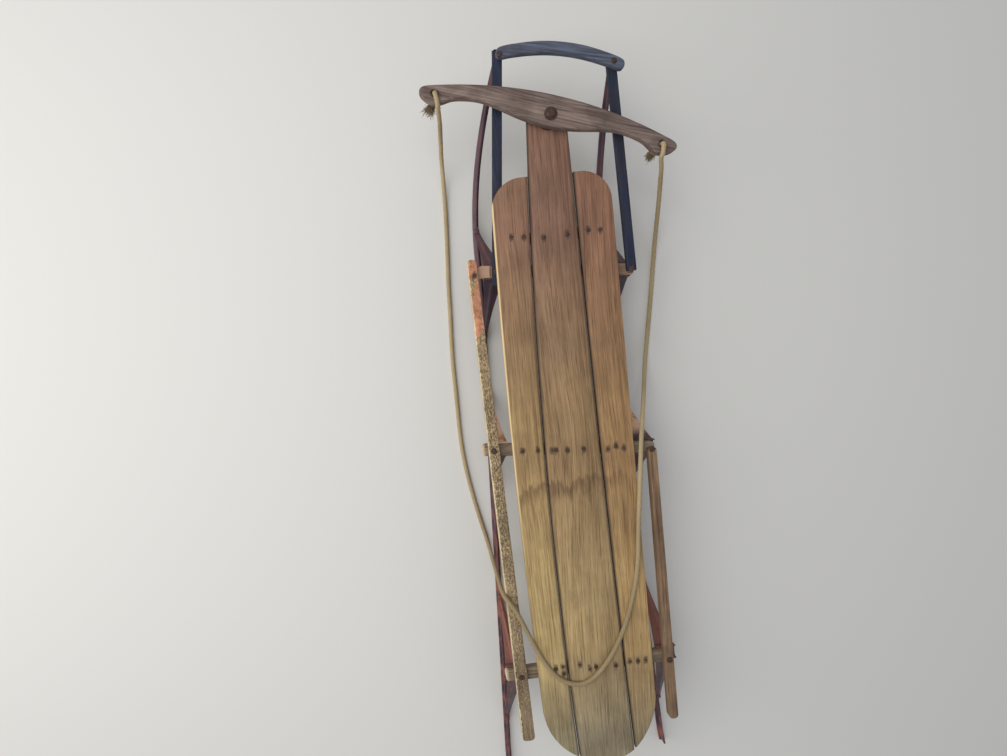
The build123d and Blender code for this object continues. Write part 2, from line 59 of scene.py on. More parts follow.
# working helpers for objects
def only(piece):  # the one selected, active object
    bpy.ops.object.select_all(action="DESELECT")
    piece.select_set(True)
    bpy.context.view_layer.objects.active = piece


def placed(piece):  # place, turn and scale go into the mesh
    only(piece)
    bpy.ops.object.transform_apply(location=True, rotation=True, scale=True)
    return piece


def openUp(piece):
    only(piece)
    bpy.ops.object.mode_set(mode="EDIT")
    bpy.ops.mesh.select_all(action="SELECT")


def closeUp():
    bpy.ops.object.mode_set(mode="OBJECT")


def pick(piece, kind, test):  # selects the edges or faces that pass the test
    bpy.ops.mesh.select_mode(type=kind)
    bpy.ops.mesh.select_all(action="DESELECT")
    mesh = bmesh.from_edit_mesh(piece.data)
    for part in mesh.edges if kind == "EDGE" else mesh.faces:
        if test(part):
            part.select_set(True)
    bmesh.update_edit_mesh(piece.data)


def runsAlong(edge, axis):
    way = edge.verts[1].co - edge.verts[0].co
    return abs(way[axis]) > 0.9 * way.length


def cutAcross(place, normal):  # an edge loop where the plane meets the open piece
    bpy.ops.mesh.select_all(action="SELECT")
    bpy.ops.mesh.bisect(plane_co=place, plane_no=normal)


def cutRows(rows):
    for y in rows:
        cutAcross((0, y, 0), (0, 1, 0))


def bevelPicked(offset, segments):
    bpy.ops.mesh.bevel(offset=offset, segments=segments, affect="EDGES")


def applyModifier(piece, kind, **settings):
    modifier = piece.modifiers.new(kind.title(), kind)
    for key, value in settings.items():
        setattr(modifier, key, value)
    only(piece)
    bpy.ops.object.modifier_apply(modifier=modifier.name)


def softenEdges(piece, width, segments=2, angle=35):
    applyModifier(
        piece, "BEVEL", width=width, segments=segments, limit_method="ANGLE",
        angle_limit=radians(angle), use_clamp_overlap=True, harden_normals=False,
    )


def settle(piece, name, body, slotName, material, *replaced):  # place applied, then finish and body
    piece.name = piece.data.name = name
    placed(piece)
    bpy.ops.object.shade_smooth_by_angle(angle=radians(38))
    piece.data.materials.clear()
    piece.data.materials.append(material)
    if replaced:
        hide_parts(*replaced)
    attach(piece, body)
    return piece


def joined(pieces):  # one piece made of several
    bpy.ops.object.select_all(action="DESELECT")
    for piece in pieces:
        piece.select_set(True)
    bpy.context.view_layer.objects.active = pieces[0]
    bpy.ops.object.join()
    return pieces[0]


# working helpers for materials
def rgb(red, green, blue):  # a colour given as a picture shows it, 0 to 255
    return tuple(((c / 255 + 0.055) / 1.055) ** 2.4 for c in (red, green, blue)) + (1.0,)


def link(value, target):
    target.id_data.links.new(value, target)


def isSocket(value):
    return isinstance(value, bpy.types.NodeSocket)


def treeOf(values):  # the node tree that holds the sockets among the values
    return next(value.id_data for value in values.values() if isSocket(value))


def filled(made, values):  # each input gets a link or a constant
    for key, value in values.items():
        if isSocket(value):
            link(value, made.inputs[key])
        else:
            made.inputs[key].default_value = value
    return made.outputs


def addNode(kind, values, **settings):
    made = treeOf(values).nodes.new("ShaderNode" + kind)
    for key, value in settings.items():
        setattr(made, key, value)
    return filled(made, values)


def calc(operation, first, second=0.0):
    return addNode("Math", {0: first, 1: second}, operation=operation)[0]


def plus(first, second):
    return calc("ADD", first, second)


def minus(first, second):
    return calc("SUBTRACT", first, second)


def times(first, second):
    return calc("MULTIPLY", first, second)


def vectorCalc(operation, first, second):
    return addNode("VectorMath", {0: first, 1: second}, operation=operation)[0]


def vector(x, y, z):
    return addNode("CombineXYZ", {0: x, 1: y, 2: z})[0]


def axesOf(place):
    return addNode("SeparateXYZ", {0: place})


def spread(value, low, high, toLow=0.0, toHigh=1.0):
    return addNode("MapRange", {0: value, 1: low, 2: high, 3: toLow, 4: toHigh})[0]


def mixed(amount, first, second, way="MIX"):
    return addNode("Mix", {0: amount, 6: first, 7: second}, data_type="RGBA", blend_type=way)[2]


def tinted(amount, colour, tint):
    return mixed(amount, colour, tint, "MULTIPLY")


def noise(place, scale, detail=3.0, rough=0.5, warp=0.0):
    values = {"Vector": place, "Scale": scale, "Detail": detail, "Roughness": rough, "Distortion": warp}
    return addNode("TexNoise", values)[0]


def mapped(place, scale=(1, 1, 1), turn=(0, 0, 0)):
    return addNode("Mapping", {"Vector": place, "Rotation": turn, "Scale": scale})[0]


def blotched(place, scale, first, second, detail=5.0, rough=0.5, edge=0.15):  # two colours in cloudy patches
    return mixed(spread(noise(place, scale, detail, rough), 0.5 - edge, 0.5 + edge), first, second)


def between(share, first, second):  # one plain colour out of two
    return tuple(a + (b - a) * share for a, b in zip(first, second))


def startGroup(name, outputs, **inputs):  # every group takes a place as Vector, then inputs with a first value
    tree = bpy.data.node_groups.new(name, "ShaderNodeTree")
    for label, value in {"Vector": (0, 0, 0), **inputs}.items():
        kind = "Float" if isinstance(value, float) else "Vector" if len(value) == 3 else "Color"
        tree.interface.new_socket(label, in_out="INPUT", socket_type="NodeSocket" + kind).default_value = value
    for label in outputs:
        kind = "Color" if label == "Color" else "Float"
        tree.interface.new_socket(label, in_out="OUTPUT", socket_type="NodeSocket" + kind)
    return tree, tree.nodes.new("NodeGroupInput").outputs, tree.nodes.new("NodeGroupOutput").inputs


def useGroup(group, **values):
    made = treeOf(values).nodes.new("ShaderNodeGroup")
    made.node_tree = group
    return filled(made, values)


def startMaterial(name, metallic=0.0, roughness=0.6, specular=0.4):
    material = bpy.data.materials.new(name)
    material.use_nodes = True
    shader = material.node_tree.nodes["Principled BSDF"]
    shader.inputs["Metallic"].default_value = metallic
    shader.inputs["Roughness"].default_value = roughness
    shader.inputs["Specular IOR Level"].default_value = specular
    place = material.node_tree.nodes.new("ShaderNodeTexCoord").outputs["Object"]
    return material, shader, place


def painted(shader, colour):
    link(colour, shader.inputs["Base Color"])


def bumped(shader, height, strength, distance):
    bump = addNode("Bump", {"Strength": strength, "Distance": distance, "Height": height})
    link(bump[0], shader.inputs["Normal"])


# shader groups that several finishes share
# woodGrain: fibres run along Y of the vector it is given
woodGrain, put, out = startGroup(
    "woodGrain", ("Color", "Height", "Fibre"), Pale=rgb(180, 150, 110), Dark=rgb(100, 80, 50),
    Bands=36.0, Contrast=0.8, Pores=0.6, Seed=0.0,
)
moved = vectorCalc("ADD", put["Vector"], vector(put["Seed"], times(put["Seed"], 3.7), 0.0))
waver = noise(mapped(moved, (1, 0.3, 1)), 5.0, 2.0)
bent = vectorCalc("ADD", moved, vector(spread(waver, 0.2, 0.8, -0.012, 0.012), 0.0, 0.0))
broad = noise(mapped(bent, (1, 0.035, 0.6)), put["Bands"], 4.0, 0.65)
fine = noise(mapped(bent, (1, 0.03, 1)), 290.0, 4.0, 0.7)
pore = spread(noise(mapped(bent, (1, 0.022, 1)), 620.0, 2.0, 0.6), 0.56, 0.70)
mottle = noise(mapped(moved, (1, 0.4, 1)), 22.0, 4.0, 0.65)
streak = noise(mapped(bent, (1, 0.012, 1)), 190.0, 3.0, 0.75)
tone = plus(times(broad, 0.40), times(fine, 0.60))
tone = plus(spread(tone, 0.36, 0.64), spread(streak, 0.54, 0.68, 0.0, 0.55))
tone = times(tone, put["Contrast"])
colour = mixed(tone, put["Pale"], put["Dark"])
colour = mixed(times(pore, put["Pores"]), colour, mixed(0.55, put["Dark"], rgb(40, 26, 16)))
shade = spread(mottle, 0.3, 0.7, 0.9, 1.1)
shadeColour = addNode("CombineColor", {0: shade, 1: shade, 2: shade})[0]
link(tinted(1.0, colour, shadeColour), out["Color"])
link(minus(times(fine, 0.7), times(pore, 0.6)), out["Height"])
link(fine, out["Fibre"])

# grime: blotches of an old stain laid over a colour
grime, put, out = startGroup("grime", ("Color",), Color=rgb(180, 150, 110), Tint=rgb(70, 58, 44), Amount=0.5, Size=9.0)
blotch = noise(put["Vector"], put["Size"], 7.0, 0.62, 0.3)
mask = times(spread(blotch, 0.42, 0.72), put["Amount"])
link(mixed(mask, put["Color"], put["Tint"]), out["Color"])

# flakes: where an old coat still holds, from 0 where it is gone to 1
flakes, put, out = startGroup("flakes", ("Mask",), Cover=0.5, Size=60.0, Stretch=0.4)
drawn = vectorCalc("MULTIPLY", put["Vector"], vector(1.0, put["Stretch"], 1.0))
patch = noise(drawn, put["Size"], 8.0, 0.66, 0.4)
held = plus(patch, minus(put["Cover"], 0.5))
link(spread(held, 0.485, 0.515), out["Mask"])

# rust: colour and mask of rust that creeps over steel
rust, put, out = startGroup("rust", ("Color", "Mask", "Height"), Amount=0.4, Size=30.0)
creep = noise(put["Vector"], put["Size"], 8.0, 0.68, 0.5)
grit = noise(put["Vector"], 700.0, 3.0, 0.7)
mask = spread(plus(creep, times(put["Amount"], 0.5)), 0.62, 0.80)
link(mask, out["Mask"])
link(mixed(spread(grit, 0.35, 0.65), rgb(74, 42, 28), rgb(142, 92, 58)), out["Color"])
link(times(grit, mask), out["Height"])

# nailHalo: a dark ring of rust round one nail, added to the mask that it is given
nailHalo, put, out = startGroup("nailHalo", ("Mask",), Nail=(0, 0, 0), Mask=0.0)
away = vectorCalc("SUBTRACT", put["Vector"], put["Nail"])
away = vectorCalc("MULTIPLY", away, (1.0, 0.62, 1.0))
reach = addNode("VectorMath", {0: away}, operation="LENGTH")["Value"]
ragged = plus(reach, spread(noise(put["Vector"], 160.0, 3.0), 0.3, 0.7, -0.002, 0.002))
halo = spread(ragged, 0.0036, 0.0068, 1.0, 0.0)
link(calc("MAXIMUM", put["Mask"], halo), out["Mask"])
print("shader groups made")

# camera, where the photograph was taken from
cameraView = {
    "place": (-0.3006, 0.2739, 1.3574),
    "right": (0.9934, -0.1110, 0.0281),
    "up": (0.1129, 0.9903, -0.0812),
    "back": (-0.0188, 0.0838, 0.9963),
    "lens": 20.23,
    "shift": 0.0675,
}
bpy.ops.object.camera_add()
camera = bpy.context.object
columns = [Vector(cameraView[key]) for key in ("right", "up", "back", "place")]
camera.matrix_world = Matrix([[column[row] for column in columns] for row in range(3)] + [[0, 0, 0, 1]])
camera.data.lens = cameraView["lens"]
camera.data.shift_x = cameraView["shift"]
camera.data.clip_start = 0.05
scene.camera = camera

# pull rope: from under the left end of the bar to the floor, along the sled, over the left rail,
# round the tail of the deck, off beside the middle bunk and up to the right end of the bar
ropeRoute = [
    (-0.2105, 0.6940, 0.150), (-0.2095, 0.6880, 0.122), (-0.2085, 0.680, 0.094), (-0.208, 0.669, 0.070),
    (-0.208, 0.656, 0.048), (-0.207, 0.626, 0.024), (-0.207, 0.583, 0.0095), (-0.209, 0.530, 0.0053),
    (-0.214, 0.455, 0.0053), (-0.220, 0.380, 0.0053), (-0.224, 0.298, 0.0053), (-0.230, 0.205, 0.0053),
    (-0.230, 0.100, 0.0053), (-0.232, -0.010, 0.0053), (-0.221, -0.110, 0.0053),
    (-0.205, -0.196, 0.0053), (-0.1915, -0.258, 0.0080), (-0.188, -0.284, 0.030), (-0.1865, -0.297, 0.075),
    (-0.1860, -0.303, 0.130), (-0.1855, -0.310, 0.178), (-0.177, -0.3205, 0.190), (-0.162, -0.345, 0.1865),
    (-0.146, -0.386, 0.1825), (-0.128, -0.437, 0.1780), (-0.102, -0.494, 0.1773),
    (-0.070, -0.528, 0.1773), (-0.023, -0.539, 0.1773), (0.024, -0.500, 0.1773), (0.064, -0.438, 0.1773),
    (0.093, -0.366, 0.1773), (0.114, -0.285, 0.1773), (0.122, -0.190, 0.1773), (0.134, -0.092, 0.178),
    (0.144, -0.014, 0.173), (0.157, 0.032, 0.156), (0.179, 0.072, 0.116), (0.206, 0.107, 0.060),
    (0.228, 0.148, 0.018), (0.246, 0.220, 0.0053), (0.262, 0.315, 0.0053), (0.269, 0.366, 0.0075),
    (0.272, 0.412, 0.017), (0.270, 0.448, 0.038), (0.265, 0.478, 0.064), (0.2565, 0.503, 0.096),
    (0.2475, 0.5285, 0.128), (0.2400, 0.5400, 0.150),
]
ropeSizes = {"radius": 0.005, "sides": 20, "lobes": 5, "pitch": 0.0165, "bead": 0.00042, "fine": 56}


def routeLine(points, fine):  # the smooth line of a rope, as points close together
    bpy.ops.curve.primitive_nurbs_path_add(location=(0, 0, 0))
    path = bpy.context.object
    path.data.splines.clear()
    spline = path.data.splines.new("NURBS")
    spline.points.add(len(points) - 1)
    for control, place in zip(spline.points, points):
        control.co = (*place, 1.0)
    spline.order_u = 3
    spline.use_endpoint_u = True
    spline.resolution_u = fine
    path.data.resolution_u = fine
    bpy.context.view_layer.update()
    line = bpy.data.meshes.new_from_object(path)
    places = [vertex.co.copy() for vertex in line.vertices]
    bpy.data.meshes.remove(line)
    bpy.data.objects.remove(path)
    return places


def braidedTube(name, line, sizes):  # a tube round the line, beaded like a braid, with a UV map
    around, radius = sizes["sides"], sizes["radius"]
    ways = [(after - before).normalized() for before, after in zip(line, line[1:])]
    ways.append(ways[-1].copy())
    side = ways[0].orthogonal().normalized()
    verts, runs, run = [], [], 0.0
    for index, (place, way) in enumerate(zip(line, ways)):
        if index:
            side = ways[index - 1].rotation_difference(way) @ side
            run += (place - line[index - 1]).length
        side = (side - way * side.dot(way)).normalized()
        other = way.cross(side)
        runs.append(run)
        for step in range(around):
            turn = 2 * pi * step / around
            lobe = sizes["lobes"] * turn
            wave = 2 * pi * run / sizes["pitch"]
            bead = max(sin(lobe + wave), sin(lobe - wave))
            reach = radius + sizes["bead"] * (bead - 1.0)
            verts.append(place + (side * cos(turn) + other * sin(turn)) * reach)
    faces = []
    for ring in range(len(line) - 1):
        for step in range(around):
            following = (step + 1) % around
            faces.append((ring * around + step, ring * around + following,
                          (ring + 1) * around + following, (ring + 1) * around + step))
    faces.append(tuple(reversed(range(around))))
    faces.append(tuple(range((len(line) - 1) * around, len(line) * around)))
    mesh = bpy.data.meshes.new(name)
    mesh.from_pydata([tuple(v) for v in verts], [], faces)
    uv = mesh.uv_layers.new(name="UVMap")
    for face in mesh.polygons[:-2]:
        ring, step = divmod(face.index, around)
        corners = [(ring, step), (ring, step + 1), (ring + 1, step + 1), (ring + 1, step)]
        for loop, (r, s) in zip(face.loop_indices, corners):
            uv.data[loop].uv = (s / around, runs[r] / (2 * pi * radius))
    for face in mesh.polygons:
        face.use_smooth = True
    mesh.materials.append(ropeFinish)
    piece = bpy.data.objects.new(name, mesh)
    scene.collection.objects.link(piece)
    return piece


def ropeMaterial():
    material, shader, place = startMaterial("braidedCotton", roughness=0.92, specular=0.15)
    uv = place.node.outputs["UV"]
    turned = spread(noise(place, 7.0, 4.0, 0.6), 0.35, 0.65)
    fibre = noise(mapped(uv, (60, 22, 1), (0, 0, radians(34))), 2.0, 3.0, 0.7)
    crossing = noise(mapped(uv, (60, 22, 1), (0, 0, radians(-34))), 2.0, 3.0, 0.7)
    weave = calc("MAXIMUM", fibre, crossing)
    clean = mixed(spread(weave, 0.4, 0.7), rgb(148, 128, 94), rgb(208, 190, 153))
    soiled = mixed(times(turned, 0.45), clean, rgb(128, 107, 76))
    painted(shader, tinted(spread(axesOf(place)[1], 0.05, -0.38), soiled, (0.76, 0.74, 0.72, 1)))
    bumped(shader, weave, 0.5, 0.0006)
    return material


ropeFinish = ropeMaterial()
ropeLine = routeLine(ropeRoute, ropeSizes["fine"])
rope = braidedTube("pullRope", ropeLine, ropeSizes)
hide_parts("rope")

# worn deck: three boards on the bunks, browner to the nose and greyer to the tail
deckSizes = {
    "along": (0.565, -0.0124, -0.728), "front": 0.565, "gapHalf": {"Left": 0.0011, "Right": 0.0015},
    "thickness": 0.010, "rounding": 0.0024, "gapRounding": 0.0007,
    "tail": {"Left": -0.708, "Right": -0.7036}, "tailCorner": {"Left": -0.055, "Right": 0.0785},
    "tailLift": 0.0006, "tailShoulder": 0.024, "shoulderY": -0.590, "turnY": -0.667, "edgeY": -0.540,
    "cornerFront": 0.062, "cornerRun": 0.010, "tailMiddle": (0.007, -0.728), "tongue": (-0.033, 0.045, 0.712, 0.020),
    "pivot": (0.0075, 0.675, 0.00405),
    "cuts": (-0.68, -0.60, -0.50, -0.40, -0.30, -0.20, -0.10, 0.0, 0.10, 0.20, 0.30, 0.40, 0.48, 0.54),
}
# x of the deck's lines at its front, at the middle bunk and at its tail
deckLines = {
    "LeftEdge": (-0.122, -0.1315, -0.117), "LeftGap": (-0.044, -0.0635, -0.050),
    "RightGap": (0.049, 0.056, 0.075), "RightEdge": (0.126, 0.128, 0.131),
}


def bowThrough(xs, ys):  # factors of the shallow bow x = a + b y + c y y through three places
    first, second = ((xs[n + 1] - xs[n]) / (ys[n + 1] - ys[n]) for n in (0, 1))
    c = (second - first) / (ys[2] - ys[0])
    b = first - c * (ys[0] + ys[1])
    return xs[0] - b * ys[0] - c * ys[0] ** 2, b, c


deckBows = {name: bowThrough(xs, deckSizes["along"]) for name, xs in deckLines.items()}


def fromBow(axes, name):  # how far a place is to the right of a line of the deck
    a, b, c = deckBows[name]
    return minus(axes[0], plus(times(plus(times(axes[1], c), b), axes[1]), a))


def onBow(name, y, shift=0.0):
    a, b, c = deckBows[name]
    return a + b * y + c * y * y + shift, y


def bowPoints(name, start, end, shift=0.0, count=14):
    return [onBow(name, start + (end - start) * step / count, shift) for step in range(count + 1)]


def arcPoints(first, middle, last, count=12):  # points of the arc through three places
    (ax, ay), (bx, by), (cx, cy) = first, middle, last
    turned = 2 * (ax * (by - cy) + bx * (cy - ay) + cx * (ay - by))
    squares = ax * ax + ay * ay, bx * bx + by * by, cx * cx + cy * cy
    x = (squares[0] * (by - cy) + squares[1] * (cy - ay) + squares[2] * (ay - by)) / turned
    y = (squares[0] * (cx - bx) + squares[1] * (ax - cx) + squares[2] * (bx - ax)) / turned
    start, end = atan2(ay - y, ax - x), atan2(cy - y, cx - x)
    sweep = (end - start + pi) % (2 * pi) - pi
    radius = sqrt((ax - x) ** 2 + (ay - y) ** 2)
    turns = [start + sweep * step / count for step in range(count + 1)]
    return [(x + radius * cos(turn), y + radius * sin(turn)) for turn in turns]


# nail heads in the deck: x, y, radius
deckNails = [
    (-0.0905, 0.4473, 0.0042), (-0.0637, 0.4444, 0.0038), (-0.0228, 0.4390, 0.0040), (0.0260, 0.4402, 0.0038),
    (0.0705, 0.4440, 0.0040), (0.0960, 0.4425, 0.0036), (-0.1109, -0.0030, 0.0044), (-0.0778, -0.0046, 0.0034),
    (-0.0478, -0.0082, 0.0024), (-0.0394, -0.0084, 0.0042), (-0.0149, -0.0119, 0.0042), (0.0207, -0.0133, 0.0042),
    (0.0722, -0.0193, 0.0026), (0.0899, -0.0149, 0.0044), (0.1066, -0.0210, 0.0032), (-0.0854, -0.4966, 0.0044),
    (-0.0695, -0.4939, 0.0030), (-0.0688, -0.5104, 0.0042), (-0.0315, -0.4942, 0.0028), (-0.0103, -0.5063, 0.0026),
    (0.0034, -0.5034, 0.0046), (0.0480, -0.5060, 0.0042), (0.0799, -0.5004, 0.0032), (0.0977, -0.5015, 0.0044),
    (0.1157, -0.5015, 0.0030),
]


# where a tint of the deck starts and is full, from nose to tail, and the tint
deckTints = [(0.08, 0.46, (0.76, 0.63, 0.87)), (-0.06, -0.34, (1.36, 1.50, 1.46)), (-0.46, -0.66, (0.62, 0.72, 0.96))]


def deckMaterial(name, pale, dark, seed):
    material, shader, place = startMaterial(name, roughness=0.6, specular=0.3)
    axes = axesOf(place)
    grain = useGroup(woodGrain, Vector=place, Pale=pale, Dark=dark, Bands=120.0, Contrast=0.66, Pores=0.62, Seed=seed)
    colour = grain["Color"]
    for start, end, tint in deckTints:
        colour = tinted(spread(axes[1], start, end), colour, (*tint, 1))
    # a tide mark behind the middle bunk, drawn down along the grain
    wander = noise(mapped(place, (1, 0.16, 1)), 46.0, 6.0, 0.72)
    level = plus(axes[1], spread(wander, 0.25, 0.75, 0.055, 0.125))
    tide = times(spread(level, -0.034, -0.004), spread(level, 0.002, 0.012, 1.0, 0.0))
    colour = tinted(times(tide, spread(axes[0], 0.02, 0.11, 0.72, 0.22)), colour, (0.46, 0.42, 0.42, 1))
    # dirt and painted shade along both gaps, darkest on the boards' sides in the gaps
    for gap in ("LeftGap", "RightGap"):
        gapWay = calc("ABSOLUTE", fromBow(axes, gap))
        colour = mixed(spread(gapWay, 0.0018, 0.0060, 0.85, 0.0), colour, rgb(50, 36, 26))
    dirty = useGroup(grime, Vector=place, Color=colour, Tint=rgb(84, 66, 48), Amount=0.42, Size=7.0)["Color"]
    # the left rim is painted pale: a painted highlight of light from the left, full near the top
    rim = spread(fromBow(axes, "LeftEdge"), 0.0018, 0.0036, 0.88, 0.0)
    rim = times(rim, spread(axes[1], -0.30, -0.05))
    rim = times(rim, spread(axes[2], 0.163, 0.170, 0.5, 1.0))
    wearAndHighlight = mixed(rim, dirty, rgb(236, 208, 156))
    halo = 0.0
    for x, y, _ in deckNails:
        halo = useGroup(nailHalo, Vector=place, Nail=(x, y, levels["deck"]), Mask=halo)["Mask"]
    painted(shader, mixed(times(halo, 0.62), wearAndHighlight, rgb(46, 34, 28)))
    link(spread(grain["Fibre"], 0.3, 0.7, 0.52, 0.74), shader.inputs["Roughness"])
    bumped(shader, grain["Height"], 0.55, 0.0009)
    return material


def addCorners(curve, corners):  # corner: x, y, run before it, run after it, fullness of the rounding; or x, y if sharp
    anchors = []
    for index, (x, y, *rounding) in enumerate(corners):
        corner = Vector((x, y, 0))
        last = Vector((*corners[index - 1][:2], 0))
        following = Vector((*corners[(index + 1) % len(corners)][:2], 0))
        if rounding:
            before, after, full = rounding
            start = corner + (last - corner).normalized() * before
            end = corner + (following - corner).normalized() * after
            anchors += [(start, start, start.lerp(corner, full)), (end, end.lerp(corner, full), end)]
        else:
            anchors.append((corner, corner, corner))
    spline = curve.splines.new("BEZIER")
    spline.bezier_points.add(len(anchors) - 1)
    for point, (place, left, right) in zip(spline.bezier_points, anchors):
        point.handle_left_type = point.handle_right_type = "FREE"
        point.co, point.handle_left, point.handle_right = place, left, right
    spline.use_cyclic_u = True
    spline.resolution_u = 14


def addSmooth(curve, points):  # a closed curve drawn by its control points
    spline = curve.splines.new("NURBS")
    spline.points.add(len(points) - 1)
    for control, (x, y) in zip(spline.points, points):
        control.co = (x, y, 0, 1)
    spline.order_u = 3
    spline.use_cyclic_u = True
    spline.resolution_u = 8


def addHole(curve, x, y, radius):
    addCorners(curve, [
        (x + a * radius, y + b * radius, radius, radius, quarterRound) for a, b in ((1, 1), (1, -1), (-1, -1), (-1, 1))
    ])


def outlined(draw, bottom, thickness, rounding, centre=(0, 0), turn=0.0):  # a flat outline given thickness
    bpy.ops.curve.primitive_bezier_circle_add(location=(*centre, bottom + thickness / 2), rotation=(0, 0, turn))
    piece = bpy.context.object
    curve = piece.data
    curve.splines.clear()
    curve.dimensions = "2D"
    curve.fill_mode = "BOTH"
    curve.extrude = thickness / 2 - rounding
    curve.bevel_depth = rounding
    curve.bevel_resolution = 2
    curve.offset = -rounding
    draw(curve)
    only(piece)
    bpy.ops.object.convert(target="MESH")
    openUp(piece)
    bpy.ops.mesh.remove_doubles(threshold=0.00002)
    bpy.ops.mesh.normals_make_consistent(inside=False)
    bpy.ops.mesh.dissolve_limited(angle_limit=radians(0.08))
    closeUp()
    return piece


def deckBoard(name, side, material):
    s = deckSizes

    def sideBoard(curve):
        gap, edge, tail = name + "Gap", name + "Edge", s["tail"][name]
        shoulder = onBow(edge, s["shoulderY"])
        turnMiddle = (shoulder[0] - side * s["tailShoulder"], s["turnY"])
        corners = bowPoints(gap, s["front"], tail, side * s["gapHalf"][name])
        corners += arcPoints((s["tailCorner"][name], tail + s["tailLift"]), turnMiddle, shoulder)
        corners += bowPoints(edge, s["edgeY"], s["front"] - s["cornerFront"] - s["cornerRun"])
        corners.append((*onBow(edge, s["front"]), s["cornerFront"], s["cornerFront"], quarterRound))
        addCorners(curve, corners)

    def centreBoard(curve):
        low, high, tip, rounding = s["tongue"]
        tail = s["tail"]["Left"]
        right = bowPoints("RightGap", tail, s["front"], -s["gapHalf"]["Right"])
        left = bowPoints("LeftGap", s["front"], tail, s["gapHalf"]["Left"])
        tongue = [(x, tip, rounding, rounding, quarterRound) for x in (high, low)]
        addCorners(curve, right + tongue + left + arcPoints(left[-1], s["tailMiddle"], right[0])[1:-1])
        addHole(curve, *s["pivot"])

    def onGap(edge):  # the edge runs along a gap between two boards
        middle = (edge.verts[0].co + edge.verts[1].co) / 2
        reach = min(abs(middle.x - onBow(gap, middle.y)[0]) for gap in ("LeftGap", "RightGap"))
        return reach < 0.0025 and middle.y < s["front"] - 0.0005

    def onRim(edge):  # a sharp edge round the top or the bottom
        level = abs(edge.verts[0].co.z - edge.verts[1].co.z) < 0.0001
        return level and not edge.is_boundary and edge.calc_face_angle(0.0) > 1.2

    board = placed(outlined(sideBoard if side else centreBoard, levels["boardBottom"], s["thickness"], 0.0))
    openUp(board)
    pick(board, "EDGE", lambda edge: onRim(edge) and onGap(edge))
    bevelPicked(s["gapRounding"], 2)
    pick(board, "EDGE", lambda edge: onRim(edge) and not onGap(edge))
    bpy.ops.mesh.bevel(offset=s["rounding"], segments=4, affect="EDGES", clamp_overlap=True)
    cutRows(s["cuts"])
    closeUp()
    return settle(board, "deck" + name, "sled", "deck_wood", material, "deck_board_" + name.lower())


deckBoard("Left", -1, deckMaterial("deckWoodLeft", rgb(183, 152, 105), rgb(115, 86, 54), 0.0))
deckBoard("Centre", 0, deckMaterial("deckWoodCentre", rgb(170, 140, 100), rgb(104, 77, 48), 2.3))
deckBoard("Right", 1, deckMaterial("deckWoodRight", rgb(173, 138, 94), rgb(105, 74, 45), 5.1))
print("deck boards made")


# bare and painted wood of the frame under the deck
def frameWood(name, pale, dark, turn=90.0, seed=0.0, coat=None, cover=0.4, dirt=0.5, paleEnd=None):
    material, shader, place = startMaterial(name, roughness=0.7, specular=0.25)
    along = mapped(place, turn=(0, 0, radians(turn)))
    grain = useGroup(woodGrain, Vector=along, Pale=pale, Dark=dark, Bands=60.0, Contrast=0.85, Pores=0.7, Seed=seed)
    colour, height = grain["Color"], grain["Height"]
    if coat:
        chips = useGroup(flakes, Vector=along, Cover=cover, Size=70.0, Stretch=0.35)["Mask"]
        wearAndHighlight = blotched(place, 25.0, coat, between(0.45, coat, rgb(60, 34, 26)))
        colour = mixed(chips, colour, wearAndHighlight)
        height = plus(height, times(chips, 0.8))
    colour = useGroup(grime, Vector=place, Color=colour, Tint=rgb(58, 48, 40), Amount=dirt, Size=14.0)["Color"]
    if paleEnd:  # pale to the left of a place: on the bare bunks a painted highlight on the lit left ends, on the painted bunk bare worn wood
        x, tone = paleEnd
        colour = mixed(spread(axesOf(place)[0], x, x - 0.006, 0.0, 0.8), colour, tone)
    painted(shader, colour)
    link(spread(grain["Fibre"], 0.3, 0.7, 0.6, 0.82), shader.inputs["Roughness"])
    bumped(shader, height, 0.6, 0.001)
    return material


bunkSizes = {
    "depth": 0.025, "thickness": 0.020, "endRadius": 0.009, "edge": 0.0018,
    "seatMiddle": 0.0225, "seat": (0.326, 0.05, 0.020),
}
# name, y at the middle, turn in degrees, reach to the left and to the right
bunks = [
    ("Front", 0.3704, -4.8, 0.167, 0.168), ("Middle", -0.0124, -5.4, 0.196, 0.178),
    ("Rear", -0.506, 0.4, 0.196, 0.178),
]


def turnedBlock(size, place, turn):  # a box at its size, turned about the vertical
    bpy.ops.mesh.primitive_cube_add(size=1, location=place)
    block = bpy.context.object
    block.scale = size
    block.rotation_euler.z = turn
    return placed(block)


def bunk(name, y, turn, left, right, material):
    s = bunkSizes
    turn = radians(turn)
    along = Vector((cos(turn), sin(turn), 0))
    middle = Vector((0, y, levels["bunkBottom"] + s["thickness"] / 2)) + along * (right - left) / 2
    bar = turnedBlock((left + right, s["depth"], s["thickness"]), middle, turn)
    if name == "Front":  # let down for the side bars, through to its right end
        cutter = turnedBlock(s["seat"], Vector((0, y, levels["boardBottom"])) + along * s["seatMiddle"], turn)
        applyModifier(bar, "BOOLEAN", object=cutter, operation="DIFFERENCE", solver="EXACT")
        bpy.data.objects.remove(cutter)
    openUp(bar)
    pick(bar, "EDGE", lambda edge: runsAlong(edge, 2)
         and abs((edge.verts[0].co - middle).dot(along)) > (left + right) / 2 - 0.001)
    bevelPicked(s["endRadius"], 6)
    closeUp()
    softenEdges(bar, s["edge"], 3)
    slotName = "painted_bunk_wood" if name == "Front" else "bunk_wood"
    return settle(bar, "bunk" + name, "sled", slotName, material, "bunk_" + name.lower())
